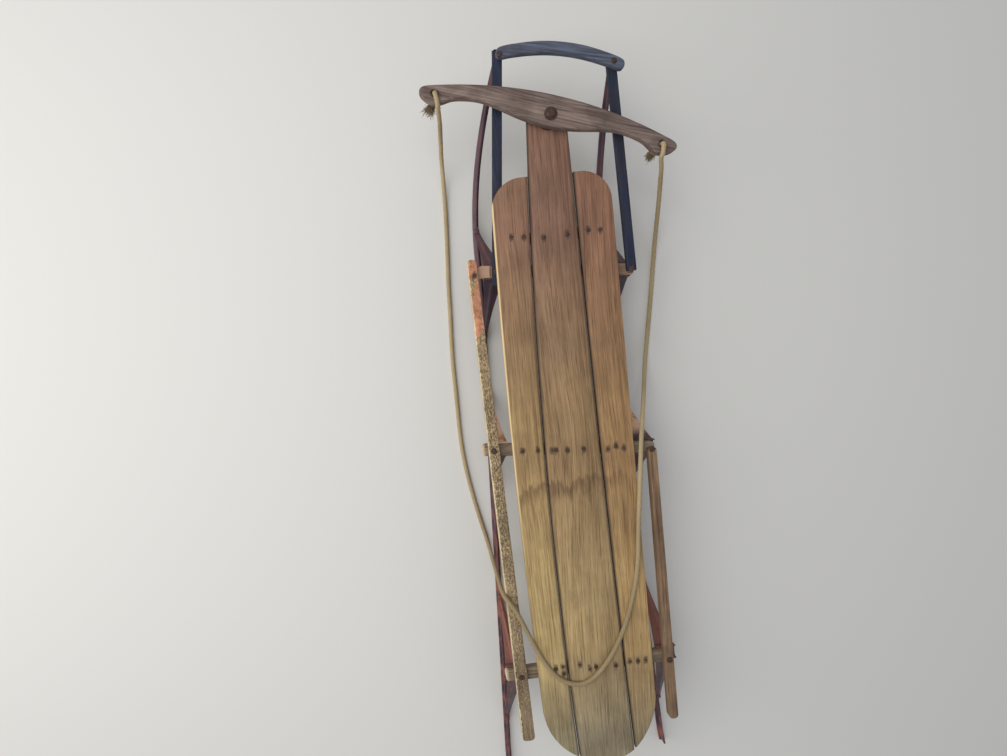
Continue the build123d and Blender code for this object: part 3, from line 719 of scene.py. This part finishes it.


# the bare bunks' pale left ends are a painted highlight
bareBunk = frameWood("bareBunk", rgb(160, 142, 118), rgb(94, 80, 66), seed=1.7, paleEnd=(-0.188, rgb(206, 188, 152)))
paintedBunk = frameWood(
    "paintedBunk", rgb(182, 150, 126), rgb(120, 92, 74), seed=4.2, coat=rgb(120, 70, 54), cover=0.36,
    paleEnd=(-0.128, rgb(186, 152, 126)),
)
for name, *place in bunks:
    bunk(name, *place, paintedBunk if name == "Front" else bareBunk)
nodes["front_cleat"].material_slots[0].material = bareBunk
print("bunks made")

# side rails, bolted through the bunks
railSizes = {
    "x": 0.166, "thickness": 0.015, "leftWidth": 0.0280, "leftFrontWidth": 0.0198, "rightWidth": 0.0208,
    "brokenWidth": 0.0180, "tail": -0.643, "edge": 0.0016, "brokenEdge": 0.0006, "corner": 0.009, "break": -0.0301,
    "cuts": (-0.6, -0.5, -0.4, -0.3, -0.2, -0.1, -0.05, 0.0, 0.1, 0.2, 0.3, 0.34),
    "leftRear": (-0.1635, -0.506), "leftLean": radians(0.9), "leftFront": 0.9154, "leftTail": -0.147,
    "emptyHole": (0.0035, 0.8825, 0.0042), "stain": (-0.1735, 0.3770, 0.1765),
}


def railMaterial():  # faded paint at the nose, fine speckle of a pale coat behind it, greyish and bare at the tail
    material, shader, place = startMaterial("flakedRail", roughness=0.7, specular=0.25)
    axes = axesOf(place)
    grain = useGroup(
        woodGrain, Vector=place, Pale=rgb(164, 143, 112), Dark=rgb(98, 80, 60), Bands=110.0, Contrast=0.9, Pores=0.8,
        Seed=7.7,
    )
    # speckle of a few millimetres: pale flakes and dark pits
    paleCover = spread(axes[1], -0.62, -0.30, 0.40, 0.52)
    pale = useGroup(flakes, Vector=place, Cover=paleCover, Size=310.0, Stretch=0.5)["Mask"]
    pits = spread(noise(mapped(place, (1, 0.45, 1)), 400.0, 4.0, 0.75), 0.46, 0.55)
    pitted = calc("MINIMUM", spread(axes[1], -0.34, -0.16, 0.34, 0.84), spread(axes[1], 0.02, 0.20, 0.84, 0.62))
    pits = times(pits, pitted)
    colour = mixed(pale, grain["Color"], rgb(186, 162, 120))
    colour = mixed(pits, colour, rgb(74, 58, 50))
    # paint that holds at the nose and thins out behind the front bunk
    redCover = spread(axes[1], 0.10, 0.30, 0.18, 0.57)
    red = useGroup(flakes, Vector=place, Cover=redCover, Size=75.0, Stretch=0.35)["Mask"]
    colour = mixed(red, colour, blotched(place, 90.0, rgb(206, 148, 112), rgb(170, 104, 82)))
    # the left rim is worn bare and pale, and painted paler still as a highlight of light from the left
    rearX, rearY = railSizes["leftRear"]
    rim = plus(axes[0], plus(times(plus(axes[1], -rearY), sin(railSizes["leftLean"])), -rearX))
    rim = plus(rim, spread(axes[1], -0.65, 0.41, 0.0027, -0.0014))
    ragged = plus(rim, spread(noise(place, 140.0, 4.0), 0.3, 0.7, -0.0016, 0.0016))
    wearAndHighlight = times(spread(ragged, -0.0086, -0.0102), spread(axes[2], 0.163, 0.174, 0.4, 0.85))
    colour = mixed(wearAndHighlight, colour, rgb(222, 204, 162))
    stain = useGroup(nailHalo, Vector=place, Nail=railSizes["stain"], Mask=0.0)["Mask"]
    colour = mixed(times(stain, 0.7), colour, rgb(70, 62, 56))
    painted(shader, useGroup(grime, Vector=place, Color=colour, Tint=rgb(76, 64, 50), Amount=0.45, Size=16.0)["Color"])
    bumped(shader, plus(grain["Height"], calc("MAXIMUM", pale, red)), 0.5, 0.0007)
    return material


# the broken end: 25 parts across the rail, and millimetres along it
splinters = [
    (0, -5.4), (2.2, 0.6), (4.0, -3.4), (6.2, 2.9), (8.8, -1.9), (11.0, -6.4), (13.8, 0.6), (16.2, -1.5), (18.0, 4.5),
    (20.5, -0.7), (22.8, 2.1), (25, -2.5),
]


def sideRail(name, side, material):
    s = railSizes
    half, frontHalf = s["leftWidth"] / 2, s["leftFrontWidth"] / 2
    inner, outer = s["x"] - s["rightWidth"] / 2, s["x"] + s["rightWidth"] / 2
    rounded = (s["corner"], s["corner"], quarterRound)

    def whole(curve):  # with the bolt hole that is empty at the front bunk
        addCorners(curve, [
            (-half, s["leftTail"], *rounded), (half, s["leftTail"], *rounded), (frontHalf, s["leftFront"], *rounded),
            (-frontHalf, s["leftFront"], 0.006, s["corner"], 0.4),
        ])
        addHole(curve, *s["emptyHole"])

    def broken(curve):  # snapped off through its bolt hole at the middle bunk
        corners = [(s["x"] + (u / 25 - 0.5) * s["brokenWidth"], s["break"] + v / 1000) for u, v in splinters]
        addCorners(curve, corners + [(outer, s["tail"], *rounded), (inner, s["tail"], *rounded)])

    if side < 0:
        shaped = (whole, levels["boardBottom"], s["thickness"], s["edge"], s["leftRear"], s["leftLean"])
    else:
        shaped = (broken, levels["boardBottom"], s["thickness"], s["brokenEdge"])
    rail = placed(outlined(*shaped))
    openUp(rail)
    cutRows(s["cuts"])
    closeUp()
    return settle(rail, "sideRail" + name, "sled", "rail_wood", material, "side_rail_" + name.lower())


sideRail("Left", -1, railMaterial())
sideRail("Right", 1, frameWood(
    "bareRail", rgb(154, 126, 98), rgb(92, 68, 50), turn=0.0, seed=9.1, coat=rgb(156, 108, 80), cover=0.34,
))
print("side rails made")


# painted steel of the runners and knees, chipped and rusted
def paintedSteel(name, paint, deep, chipped, rusted, tailPaint=None, fore=None):
    material, shader, place = startMaterial(name, roughness=0.45, specular=0.5)
    axes = axesOf(place)
    shade = blotched(place, 18.0, paint, deep, 6.0, 0.6)
    if tailPaint:
        shade = mixed(spread(axes[1], 0.05, -0.45), shade, blotched(place, 30.0, tailPaint, deep, edge=0.1))
    if fore:  # the leg ahead of a bunk has another tone: rust and dust, with a painted highlight where light falls on its forward face
        y, tone = fore
        shade = mixed(spread(axes[1], y + 0.006, y + 0.022), shade, tone)
    chips = useGroup(flakes, Vector=place, Cover=1.0 - chipped, Size=95.0, Stretch=0.5)["Mask"]
    rusty = useGroup(rust, Vector=place, Amount=rusted, Size=26.0)
    colour = mixed(chips, mixed(0.5, rusty["Color"], rgb(78, 70, 66)), shade)
    painted(shader, mixed(rusty["Mask"], colour, rusty["Color"]))
    link(spread(rusty["Mask"], 0.0, 1.0, 0.42, 0.85), shader.inputs["Roughness"])
    bumped(shader, plus(times(chips, 0.6), rusty["Height"]), 0.5, 0.0006)
    return material


runnerSizes = {
    "track": 0.160, "splay": 0.045, "sole": 0.014, "soleThickness": 0.0035, "web": 0.004, "depth": 0.019,
    "tail": -0.824, "heel": 0.022, "heelRise": 0.007, "riseStart": 0.3304, "toe": {-1: 0.806, 1: 0.770}, "tip": 0.0235,
    "toeHeight": 0.148, "toeThickness": 0.004, "thinRun": 0.066, "toeInset": 0.027, "bendStart": 0.450,
    "shift": 0.036, "toeCorner": 0.006, "edge": 0.0008,
}


def runnerPlace(side, y):  # middle and sole height of the runner
    s = runnerSizes
    toe = s["toe"][side]
    bend = max(0.0, (min(y, toe) - s["bendStart"]) / (toe - s["bendStart"])) ** 2
    half = s["track"] - s["splay"] * min(y, s["riseStart"]) - s["toeInset"] * bend
    heel = max(0.0, 1 - (y - s["tail"]) / s["heel"])
    rise = toe - s["riseStart"]
    radius = (rise**2 + s["toeHeight"] ** 2) / (2 * s["toeHeight"])
    run = max(0.0, min(y, toe) - s["riseStart"])
    return side * half + s["shift"] * bend, s["heelRise"] * heel + radius - sqrt(radius**2 - run**2)


def runnerDepth(side, y):
    s = runnerSizes
    thin = min(1.0, max(0.0, 1 - (s["toe"][side] - y) / s["thinRun"]))
    return s["depth"] * (1 - thin) + s["toeThickness"] * thin


def runner(name, side, material):
    s = runnerSizes
    stations = [-0.824, -0.818, -0.802, -0.78, -0.60, -0.40, -0.20, -0.01, 0.16, 0.30]
    toe = s["toe"][side]
    stations += [s["riseStart"] + (toe - s["riseStart"]) * step / 34 for step in range(35)]
    stations += [toe + s["tip"]]
    x, low = runnerPlace(side, stations[0])
    middle = (x, stations[0], low + s["depth"] / 2)
    bpy.ops.mesh.primitive_plane_add(size=1, location=middle, rotation=(radians(90), 0, 0))
    piece = bpy.context.object
    piece.scale = (s["sole"], s["depth"], 1)
    openUp(placed(piece))
    for way in (-1, 1):
        cutAcross((x + way * s["web"] / 2, 0, 0), (1, 0, 0))
    cutAcross((0, 0, low + s["soleThickness"]), (0, 0, 1))
    pick(piece, "FACE", lambda face: abs(face.calc_center_median().x - x) > s["web"] / 2
         and face.calc_center_median().z > low + s["soleThickness"])
    bpy.ops.mesh.delete(type="FACE")
    bpy.ops.mesh.select_all(action="SELECT")
    for before, y in zip(stations, stations[1:]):
        lastX, lastLow = runnerPlace(side, before)
        newX, newLow = runnerPlace(side, y)
        step = (newX - lastX, y - before, newLow - lastLow)
        bpy.ops.mesh.extrude_region_move(TRANSFORM_OT_translate={"value": step})
        ratio = runnerDepth(side, y) / runnerDepth(side, before)
        if ratio < 0.999:
            bpy.ops.transform.resize(value=(1, 1, ratio), center_override=(newX, y, newLow))
    bpy.ops.mesh.select_all(action="SELECT")
    bpy.ops.mesh.normals_make_consistent(inside=False)
    atTip = toe + s["tip"] - 0.001
    pick(piece, "EDGE", lambda edge: runsAlong(edge, 2) and min(v.co.y for v in edge.verts) > atTip)
    bevelPicked(s["toeCorner"], 5)
    closeUp()
    softenEdges(piece, s["edge"], 2, 48)
    return settle(piece, "runner" + name, "sled", "runner_steel", material, "runner_" + name.lower())


# the purple-maroon tone is maroon paint with a painted cool tint of light; the brick red toward the tail is the paint's
# own tone
runnerPaint = paintedSteel("runnerPaint", rgb(98, 66, 76), rgb(66, 46, 58), 0.38, 0.16, rgb(142, 88, 76))
for name, side in sides:
    runner(name, side, runnerPaint)
print("runners made")

# pressed steel knees: a saddle under the bunk and two ribbed legs that spread to the runner
kneeSizes = {
    "plate": 0.003, "width": 0.044, "lip": 0.008, "waist": 0.023, "foot": 0.013, "tabLength": 0.026, "tabDrop": 0.013,
    "ridge": 0.0029, "ridgeTop": 0.0075, "ridgeFoot": 0.0042, "ridgeEnds": 0.016, "curl": 0.0012, "seat": 0.0003,
    "saddle": 0.031, "rivets": (-0.0075, 0.0075), "rivetDrop": 0.006, "rivet": (0.0031, 0.0016),
    "plateEdge": 0.0007, "legEdge": 0.0006, "lap": 0.001, "footLift": 0.0004, "tabGap": 0.0001,
}
# under each bunk: x of the saddle, its shift to the right, reach of the legs fore and aft
kneePlaces = {
    "Front": (0.134, 0.004, 0.104, 0.128), "Middle": (0.160, 0.0, 0.104, 0.112), "Rear": (0.171, 0.0, 0.112, 0.192),
}


def plateBlock(place, size, turn=0.0):  # a small plate with soft edges
    block = turnedBlock(size, place, turn)
    softenEdges(block, kneeSizes["plateEdge"])
    return block


def smoothStep(value):  # 0 to 1 with a soft start and end
    value = min(1.0, max(0.0, value))
    return value * value * (3 - 2 * value)


def pressedLeg(top, foot, way, turn):  # a waisted leaf of plate with a ridge pressed down its middle
    s = kneeSizes
    bpy.ops.mesh.primitive_grid_add(x_subdivisions=22, y_subdivisions=18, size=1)
    leg = bpy.context.object
    wide, fore = Vector((cos(turn), sin(turn), 0)), Vector((-sin(turn), cos(turn), 0))
    drawn = (foot - top).dot(wide)
    run = fore * (foot - top).dot(fore) + upward * (foot.z - top.z)
    length = run.length
    down = run / length
    outward = way * (upward * down.dot(fore) - fore * down.z)
    for vertex in leg.data.vertices:
        share, across = vertex.co.x + 0.5, 2 * vertex.co.y
        half = (s["width"] * (1 - share) * (1 - 2 * share) + 4 * s["waist"] * share * (1 - share)
                + s["foot"] * share * (2 * share - 1)) / 2
        sideways = across * half
        ridgeHalf = s["ridgeTop"] * (1 - share) + s["ridgeFoot"] * share
        ends = smoothStep(share * length / s["ridgeEnds"]) * smoothStep((1 - share) * length / s["ridgeEnds"])
        lift = s["ridge"] * smoothStep(1 - abs(sideways) / ridgeHalf) * ends
        curl = s["curl"] * across**2 * ends  # the rims of the leaf are turned down a little
        vertex.co = top + down * (share * length) + outward * (lift - curl) + wide * (sideways + drawn * share)
    leg.data.update()
    openUp(leg)
    bpy.ops.mesh.normals_make_consistent(inside=False)
    closeUp()
    if sum(polygon.normal.dot(outward) for polygon in leg.data.polygons) < 0:
        leg.data.flip_normals()
    applyModifier(leg, "SOLIDIFY", thickness=s["plate"], offset=-1.0)
    softenEdges(leg, s["legEdge"], 2, 60)
    return leg


def rivetHead(place, radius, height, turn=0.0):  # a domed head that stands on a face, turned about Y
    bpy.ops.mesh.primitive_cylinder_add(vertices=20, radius=radius, depth=height, location=(0, 0, height / 2))
    head = placed(bpy.context.object)
    openUp(head)
    pick(head, "EDGE", lambda edge: all(v.co.z > height * 0.9 for v in edge.verts))
    bevelPicked(height * 0.82, 4)
    closeUp()
    head.rotation_euler.y = turn
    head.location = place
    return placed(head)


def knee(name, sideName, side, y, turn, x, shift, fore, aft, material):
    s = kneeSizes
    turn = radians(turn)
    across = Vector((-sin(turn), cos(turn), 0))
    plate, depth = s["plate"], bunkSizes["depth"]
    saddle = levels["bunkBottom"] - plate
    seat = Vector((side * x + shift, y + (side * x + shift) * sin(turn) / cos(turn), 0))
    parts = [plateBlock(seat + upward * (saddle + plate / 2), (s["width"], s["saddle"], plate), turn)]
    for way, reach in ((1, fore), (-1, aft)):
        lip = seat + across * way * (depth + plate) / 2 + upward * (saddle + (plate + s["lip"]) / 2)
        parts.append(plateBlock(lip, (s["width"], plate, plate + s["lip"]), turn))
        footY = seat.y + way * reach
        footX = runnerPlace(side, footY)[0]
        webTop = max(runnerPlace(side, footY + end * s["foot"])[1] for end in (-0.5, 0.5)) + runnerDepth(side, footY)
        footZ = webTop + s["seat"] + s["footLift"]
        top = seat + across * way * depth / 2 + upward * (saddle + s["lap"])
        parts.append(pressedLeg(top, Vector((footX, footY, footZ + s["lap"])), way, turn))
        # the foot on the web's top, a tab down its inner face and the rivets through both
        tabX = footX - side * ((runnerSizes["web"] + plate) / 2 + s["seat"] + s["tabGap"])
        tabSize = (plate, s["tabLength"], s["tabDrop"] + plate)
        parts.append(plateBlock((footX, footY, footZ + plate / 2), (s["foot"], s["foot"], plate)))
        parts.append(plateBlock((tabX, footY, footZ + (plate - s["tabDrop"]) / 2), tabSize))
        for end in s["rivets"]:
            for face, facing in ((tabX - side * plate / 2, -side), (footX + side * runnerSizes["web"] / 2, side)):
                spot = (face, footY + end, footZ - s["rivetDrop"])
                parts.append(rivetHead(spot, *s["rivet"], facing * pi / 2))
    replaced = "_".join(("knee", name.lower(), sideName.lower()))
    return settle(joined(parts), "knee" + name + sideName, "sled", "knee_steel", material, replaced)


# paint, share chipped, tone of the leg ahead of the bunk (rust and dust with a painted highlight)
kneeTones = {
    "Front": (rgb(72, 48, 58), 0.22, rgb(78, 48, 56)), "Middle": (rgb(88, 56, 60), 0.36, rgb(216, 174, 140)),
    "Rear": (rgb(96, 58, 58), 0.40, rgb(126, 78, 66)),
}
for name, y, turn, *_ in bunks:
    paint, chipped, fore = kneeTones[name]
    finish = paintedSteel("kneePaint" + name, paint, rgb(48, 36, 46), chipped, chipped / 2, fore=(y, fore))
    for sideName, side in sides:
        knee(name, sideName, side, y, turn, *kneePlaces[name], finish)
print("knees made")

# front frame: side bars from the front bunk to the nose bar, bent over to the right
barWoods = {  # pale and dark tone
    # the side bars' near-black blue is painted shade under the deck; the nose bar's blue-grey is grey wood with a
    # painted cool tint of light
    "side": (rgb(48, 55, 76), rgb(19, 24, 40)), "nose": (rgb(106, 112, 128), rgb(48, 54, 70)),
    "steering": (rgb(148, 129, 117), rgb(80, 63, 62)),
}
sideBars = {"rearY": 0.3524, "width": 0.020, "thickness": 0.010, "corner": 0.0025, "edge": 0.0012}


def sideBar(sideName, rearX, toeX, toeY, material):
    s = sideBars
    rear, toe = Vector((rearX, s["rearY"], 0)), Vector((toeX, toeY, 0))
    run = toe - rear
    middle = rear + run / 2 + upward * (levels["boardBottom"] - s["thickness"] / 2)
    bar = turnedBlock((s["width"], run.length, s["thickness"]), middle, -atan2(run.x, run.y))
    openUp(bar)
    pick(bar, "EDGE", lambda edge: runsAlong(edge, 2))
    bevelPicked(s["corner"], 3)
    closeUp()
    softenEdges(bar, s["edge"])
    return settle(bar, "sideBar" + sideName, "sled", "bar_wood", material, "front_side_bar_" + sideName.lower())


# near-black blue wood: painted shade under the deck
sideWood = frameWood("sideBarWood", *barWoods["side"], turn=0.0, seed=3.3)
sideBar("Left", -0.1275, -0.0795, 0.8226, sideWood)
sideBar("Right", 0.1595, 0.1515, 0.7863, sideWood)

# right halves of the two bars, in millimetres
noseOutline = [
    (0, 11.6), (50, 8.4), (100, -2.4), (122, -8.8), (131.5, -15), (131.5, -28), (123, -32.6), (100, -25.0),
    (50, -15.0), (0, -11.5),
]
steeringOutline = [
    (0, 38.6), (64, 36.4), (128, 29.6), (190, 18.4), (238, 6.8), (260, 0.6), (266.5, -9), (260, -20), (247, -27),
    (232, -29.8), (216, -24.5), (199, -12.5), (172, -6.2), (142, -3.0), (112, -7.0), (60, -18.5), (0, -25.5),
]


def bothHalves(outline):  # the left half repeats the right one, in metres
    return [(u / 1000, v / 1000) for u, v in outline] + [(-u / 1000, v / 1000) for u, v in reversed(outline[1:-1])]


nose = {"bottom": 0.162, "thickness": 0.015, "rounding": 0.0024, "centre": (0.048, 0.810), "turn": radians(-10.8)}
noseBar = outlined(lambda curve: addSmooth(curve, bothHalves(noseOutline)), **nose)
# blue-grey wood: grey wood with a painted cool tint of light
noseWood = frameWood("noseWood", *barWoods["nose"], turn=100.8, seed=6.1)
settle(noseBar, "noseBar", "sled", "bar_wood", noseWood, "nose_bar")

steering = {"bottom": 0.1796, "thickness": 0.020, "rounding": 0.0042, "centre": (0.0075, 0.675), "turn": radians(-17.8)}
ropeHole = {"x": 0.234, "y": -0.009, "radius": 0.0068}


def drawSteering(curve):
    addSmooth(curve, bothHalves(steeringOutline))
    for side in (1, -1):
        addHole(curve, side * ropeHole["x"], ropeHole["y"], ropeHole["radius"])
    addHole(curve, 0.0, 0.0, deckSizes["pivot"][2])


steeringBar = outlined(drawSteering, **steering)
steeringWood = frameWood("steeringWood", *barWoods["steering"], turn=107.8, seed=8.4, dirt=0.6)
settle(steeringBar, "steeringBar", "steering", "bar_wood", steeringWood, "steering_bar")
print("front frame and steering bar made")

# bolts, nails and the pivot
boltSteel, shader, place = startMaterial("agedIron", metallic=0.35, roughness=0.62)
painted(shader, blotched(place, 420.0, rgb(44, 36, 34), rgb(92, 70, 56), 4.0))
bumped(shader, noise(place, 900.0, 3.0), 0.4, 0.0004)
railBolts = [(-0.1722, 0.0052), (-0.1633, -0.5035), (0.1645, -0.0290), (0.1665, -0.5048)]
rustedBolt = ((-0.17386, 0.37636, levels["boardBottom"]), 0.0041, 0.0125)  # without its head, sunk in its hole
frontBolts = [(-0.1262, 0.3810, 0.162), (0.1590, 0.3570, 0.162), (-0.0790, 0.8085, 0.177), (0.1512, 0.7730, 0.177)]
# of each kind: height, how deep a head sits, then the place and the radius of each
headKinds = {
    "deckNails": (0.0014, 0.0004, [(x, y, levels["deck"], radius) for x, y, radius in deckNails]),
    "railBolts": (0.0024, 0.0003, [(x, y, levels["railTop"], 0.0066) for x, y in railBolts]),
    "frontBolts": (0.0026, 0.0003, [(*spot, 0.0062) for spot in frontBolts]),
}
for name, (height, sunk, spots) in headKinds.items():
    heads = [rivetHead((x, y, z - sunk), radius, height) for x, y, z, radius in spots]
    if name == "railBolts":
        heads.append(rivetHead(*rustedBolt))
    settle(joined(heads), name, "sled", "bolt_steel", boltSteel)
for name in ("pivot_bolt", "pivot_spacer"):
    nodes[name].material_slots[0].material = boltSteel
print("bolts and nails made")


# rope ends on the bar: a knot below, up through the hole, over the rear edge and down to the pull rope
def onBar(u, v, z):  # a place given along and across the steering bar
    turned = Matrix.Rotation(steering["turn"], 3, "Z") @ Vector((u, v, 0))
    return turned + Vector((*steering["centre"], z))


# the knot below the bar and up through the hole: along and across the bar from the hole, and height
knotRoute = [
    (-0.002, -0.006, 0.1560), (0.006, -0.002, 0.1575), (0.0075, 0.0055, 0.1640), (0.0, 0.0085, 0.1700),
    (-0.0075, 0.004, 0.1690), (-0.0075, -0.005, 0.1620), (0.0, -0.0085, 0.1600), (0.0065, -0.004, 0.1660),
    (0.003, 0.001, 0.1740), (0.0, 0.0, 0.1820), (0.0, 0.0, 0.1900), (0.0, 0.0, 0.2010),
]
# over the bar: share of the way to its rear edge, and height; then down: share of the step out, and height
overRoute = [(0.14, 0.2064), (0.5, 0.2068), (0.85, 0.2060), (1.0, 0.1990)]
downRoute = [(0.25, 0.1880), (0.62, 0.1720), (1.0, 0.1500)]
# where each end passes the bar's rear edge, and its step out and back from there
ropeLeads = {"Left": ((-0.2145, 0.7085), (0.0040, -0.0145)), "Right": ((0.22203, 0.56779), (0.01797, -0.02779))}
endSizes = {**ropeSizes, "radius": 0.0047, "fine": 14}
tuft = {
    "strands": 240, "thickness": 0.00036, "short": 0.006, "long": 0.024, "reach": {"Left": 1.0, "Right": 0.6},
    "way": ((-0.55, 0.34), (-0.80, 0.30), (-0.10, 0.30)),
}
tuftFinish, shader, place = startMaterial("frayedCotton", roughness=0.95, specular=0.1)
painted(shader, mixed(noise(place, 300.0, 2.0), rgb(146, 128, 102), rgb(92, 78, 62)))
chance = Random(11)
ends = []
for name, side in sides:
    hole = onBar(side * ropeHole["x"], ropeHole["y"], 0)
    edge, step = (Vector((*place, 0)) for place in ropeLeads[name])
    route = [onBar(side * ropeHole["x"] + u, ropeHole["y"] + v, z) for u, v, z in knotRoute]
    route += [hole.lerp(edge, share) + upward * z for share, z in overRoute]
    route += [edge + step * share + upward * z for share, z in downRoute]
    line = routeLine([tuple(place) for place in route], endSizes["fine"])
    end = braidedTube("ropeEnd" + name, line, endSizes)
    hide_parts("rope_end_" + name.lower())
    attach(end, "steering")
    bpy.ops.curve.primitive_bezier_curve_add(location=(0, 0, 0))
    fray = bpy.context.object
    fray.data.splines.clear()
    fray.data.dimensions = "3D"
    fray.data.bevel_depth = tuft["thickness"]
    fray.data.bevel_resolution = 0
    fray.data.resolution_u = 4
    root = line[0]
    for strand in range(tuft["strands"]):
        out = Vector([mean + chance.gauss(0, loose) for mean, loose in tuft["way"]]).normalized()
        reach = chance.uniform(tuft["short"], tuft["long"]) * tuft["reach"][name]
        start = root + Vector([chance.gauss(0, 0.0016) for _ in range(3)])
        middle = start + out * reach * 0.5 + Vector([chance.gauss(0, 0.0022) for _ in range(3)])
        tip = start + out * reach + Vector((chance.gauss(0, 0.003), chance.gauss(0, 0.003), -0.003))
        spline = fray.data.splines.new("BEZIER")
        spline.bezier_points.add(2)
        for point, spot in zip(spline.bezier_points, (start, middle, tip)):
            point.co = spot
            point.handle_left_type = point.handle_right_type = "AUTO"
    only(fray)
    bpy.ops.object.convert(target="MESH")
    settle(fray, "frayedEnd" + name, "steering", "rope", tuftFinish)
    ends += [end, fray]
print("rope ends made")

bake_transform(rope)

# floor and light
studio = {"floor": 12, "sky": (0.9, 0.93, 1.0, 1), "skyStrength": 0.48}
bpy.ops.mesh.primitive_plane_add(size=studio["floor"], location=(0, 0, 0))
floor = bpy.context.object
floor.name = "floor"
material, shader, place = startMaterial("paleFloor", roughness=0.9, specular=0.1)
shader.inputs["Base Color"].default_value = rgb(214, 212, 206)
floor.data.materials.append(material)
# lamps: place, energy, size, colour
lamps = [((-1.3, 0.6, 2.4), 46, 2.4, (1.0, 1.0, 1.0)), ((-3.2, 0.4, 1.1), 34, 2.0, (1.0, 0.97, 0.90))]
for place, energy, size, tint in lamps:
    bpy.ops.object.light_add(type="AREA", location=place)
    lamp = bpy.context.object
    lamp.data.energy, lamp.data.size, lamp.data.color = energy, size, tint
    lamp.rotation_euler = (Vector((0, 0, 0.1)) - lamp.location).to_track_quat("-Z", "Y").to_euler()
world = bpy.data.worlds.new("studio")
scene.world = world
world.use_nodes = True
sky = world.node_tree.nodes["Background"]
sky.inputs["Color"].default_value = studio["sky"]
sky.inputs["Strength"].default_value = studio["skyStrength"]
scene.view_settings.view_transform = "Standard"
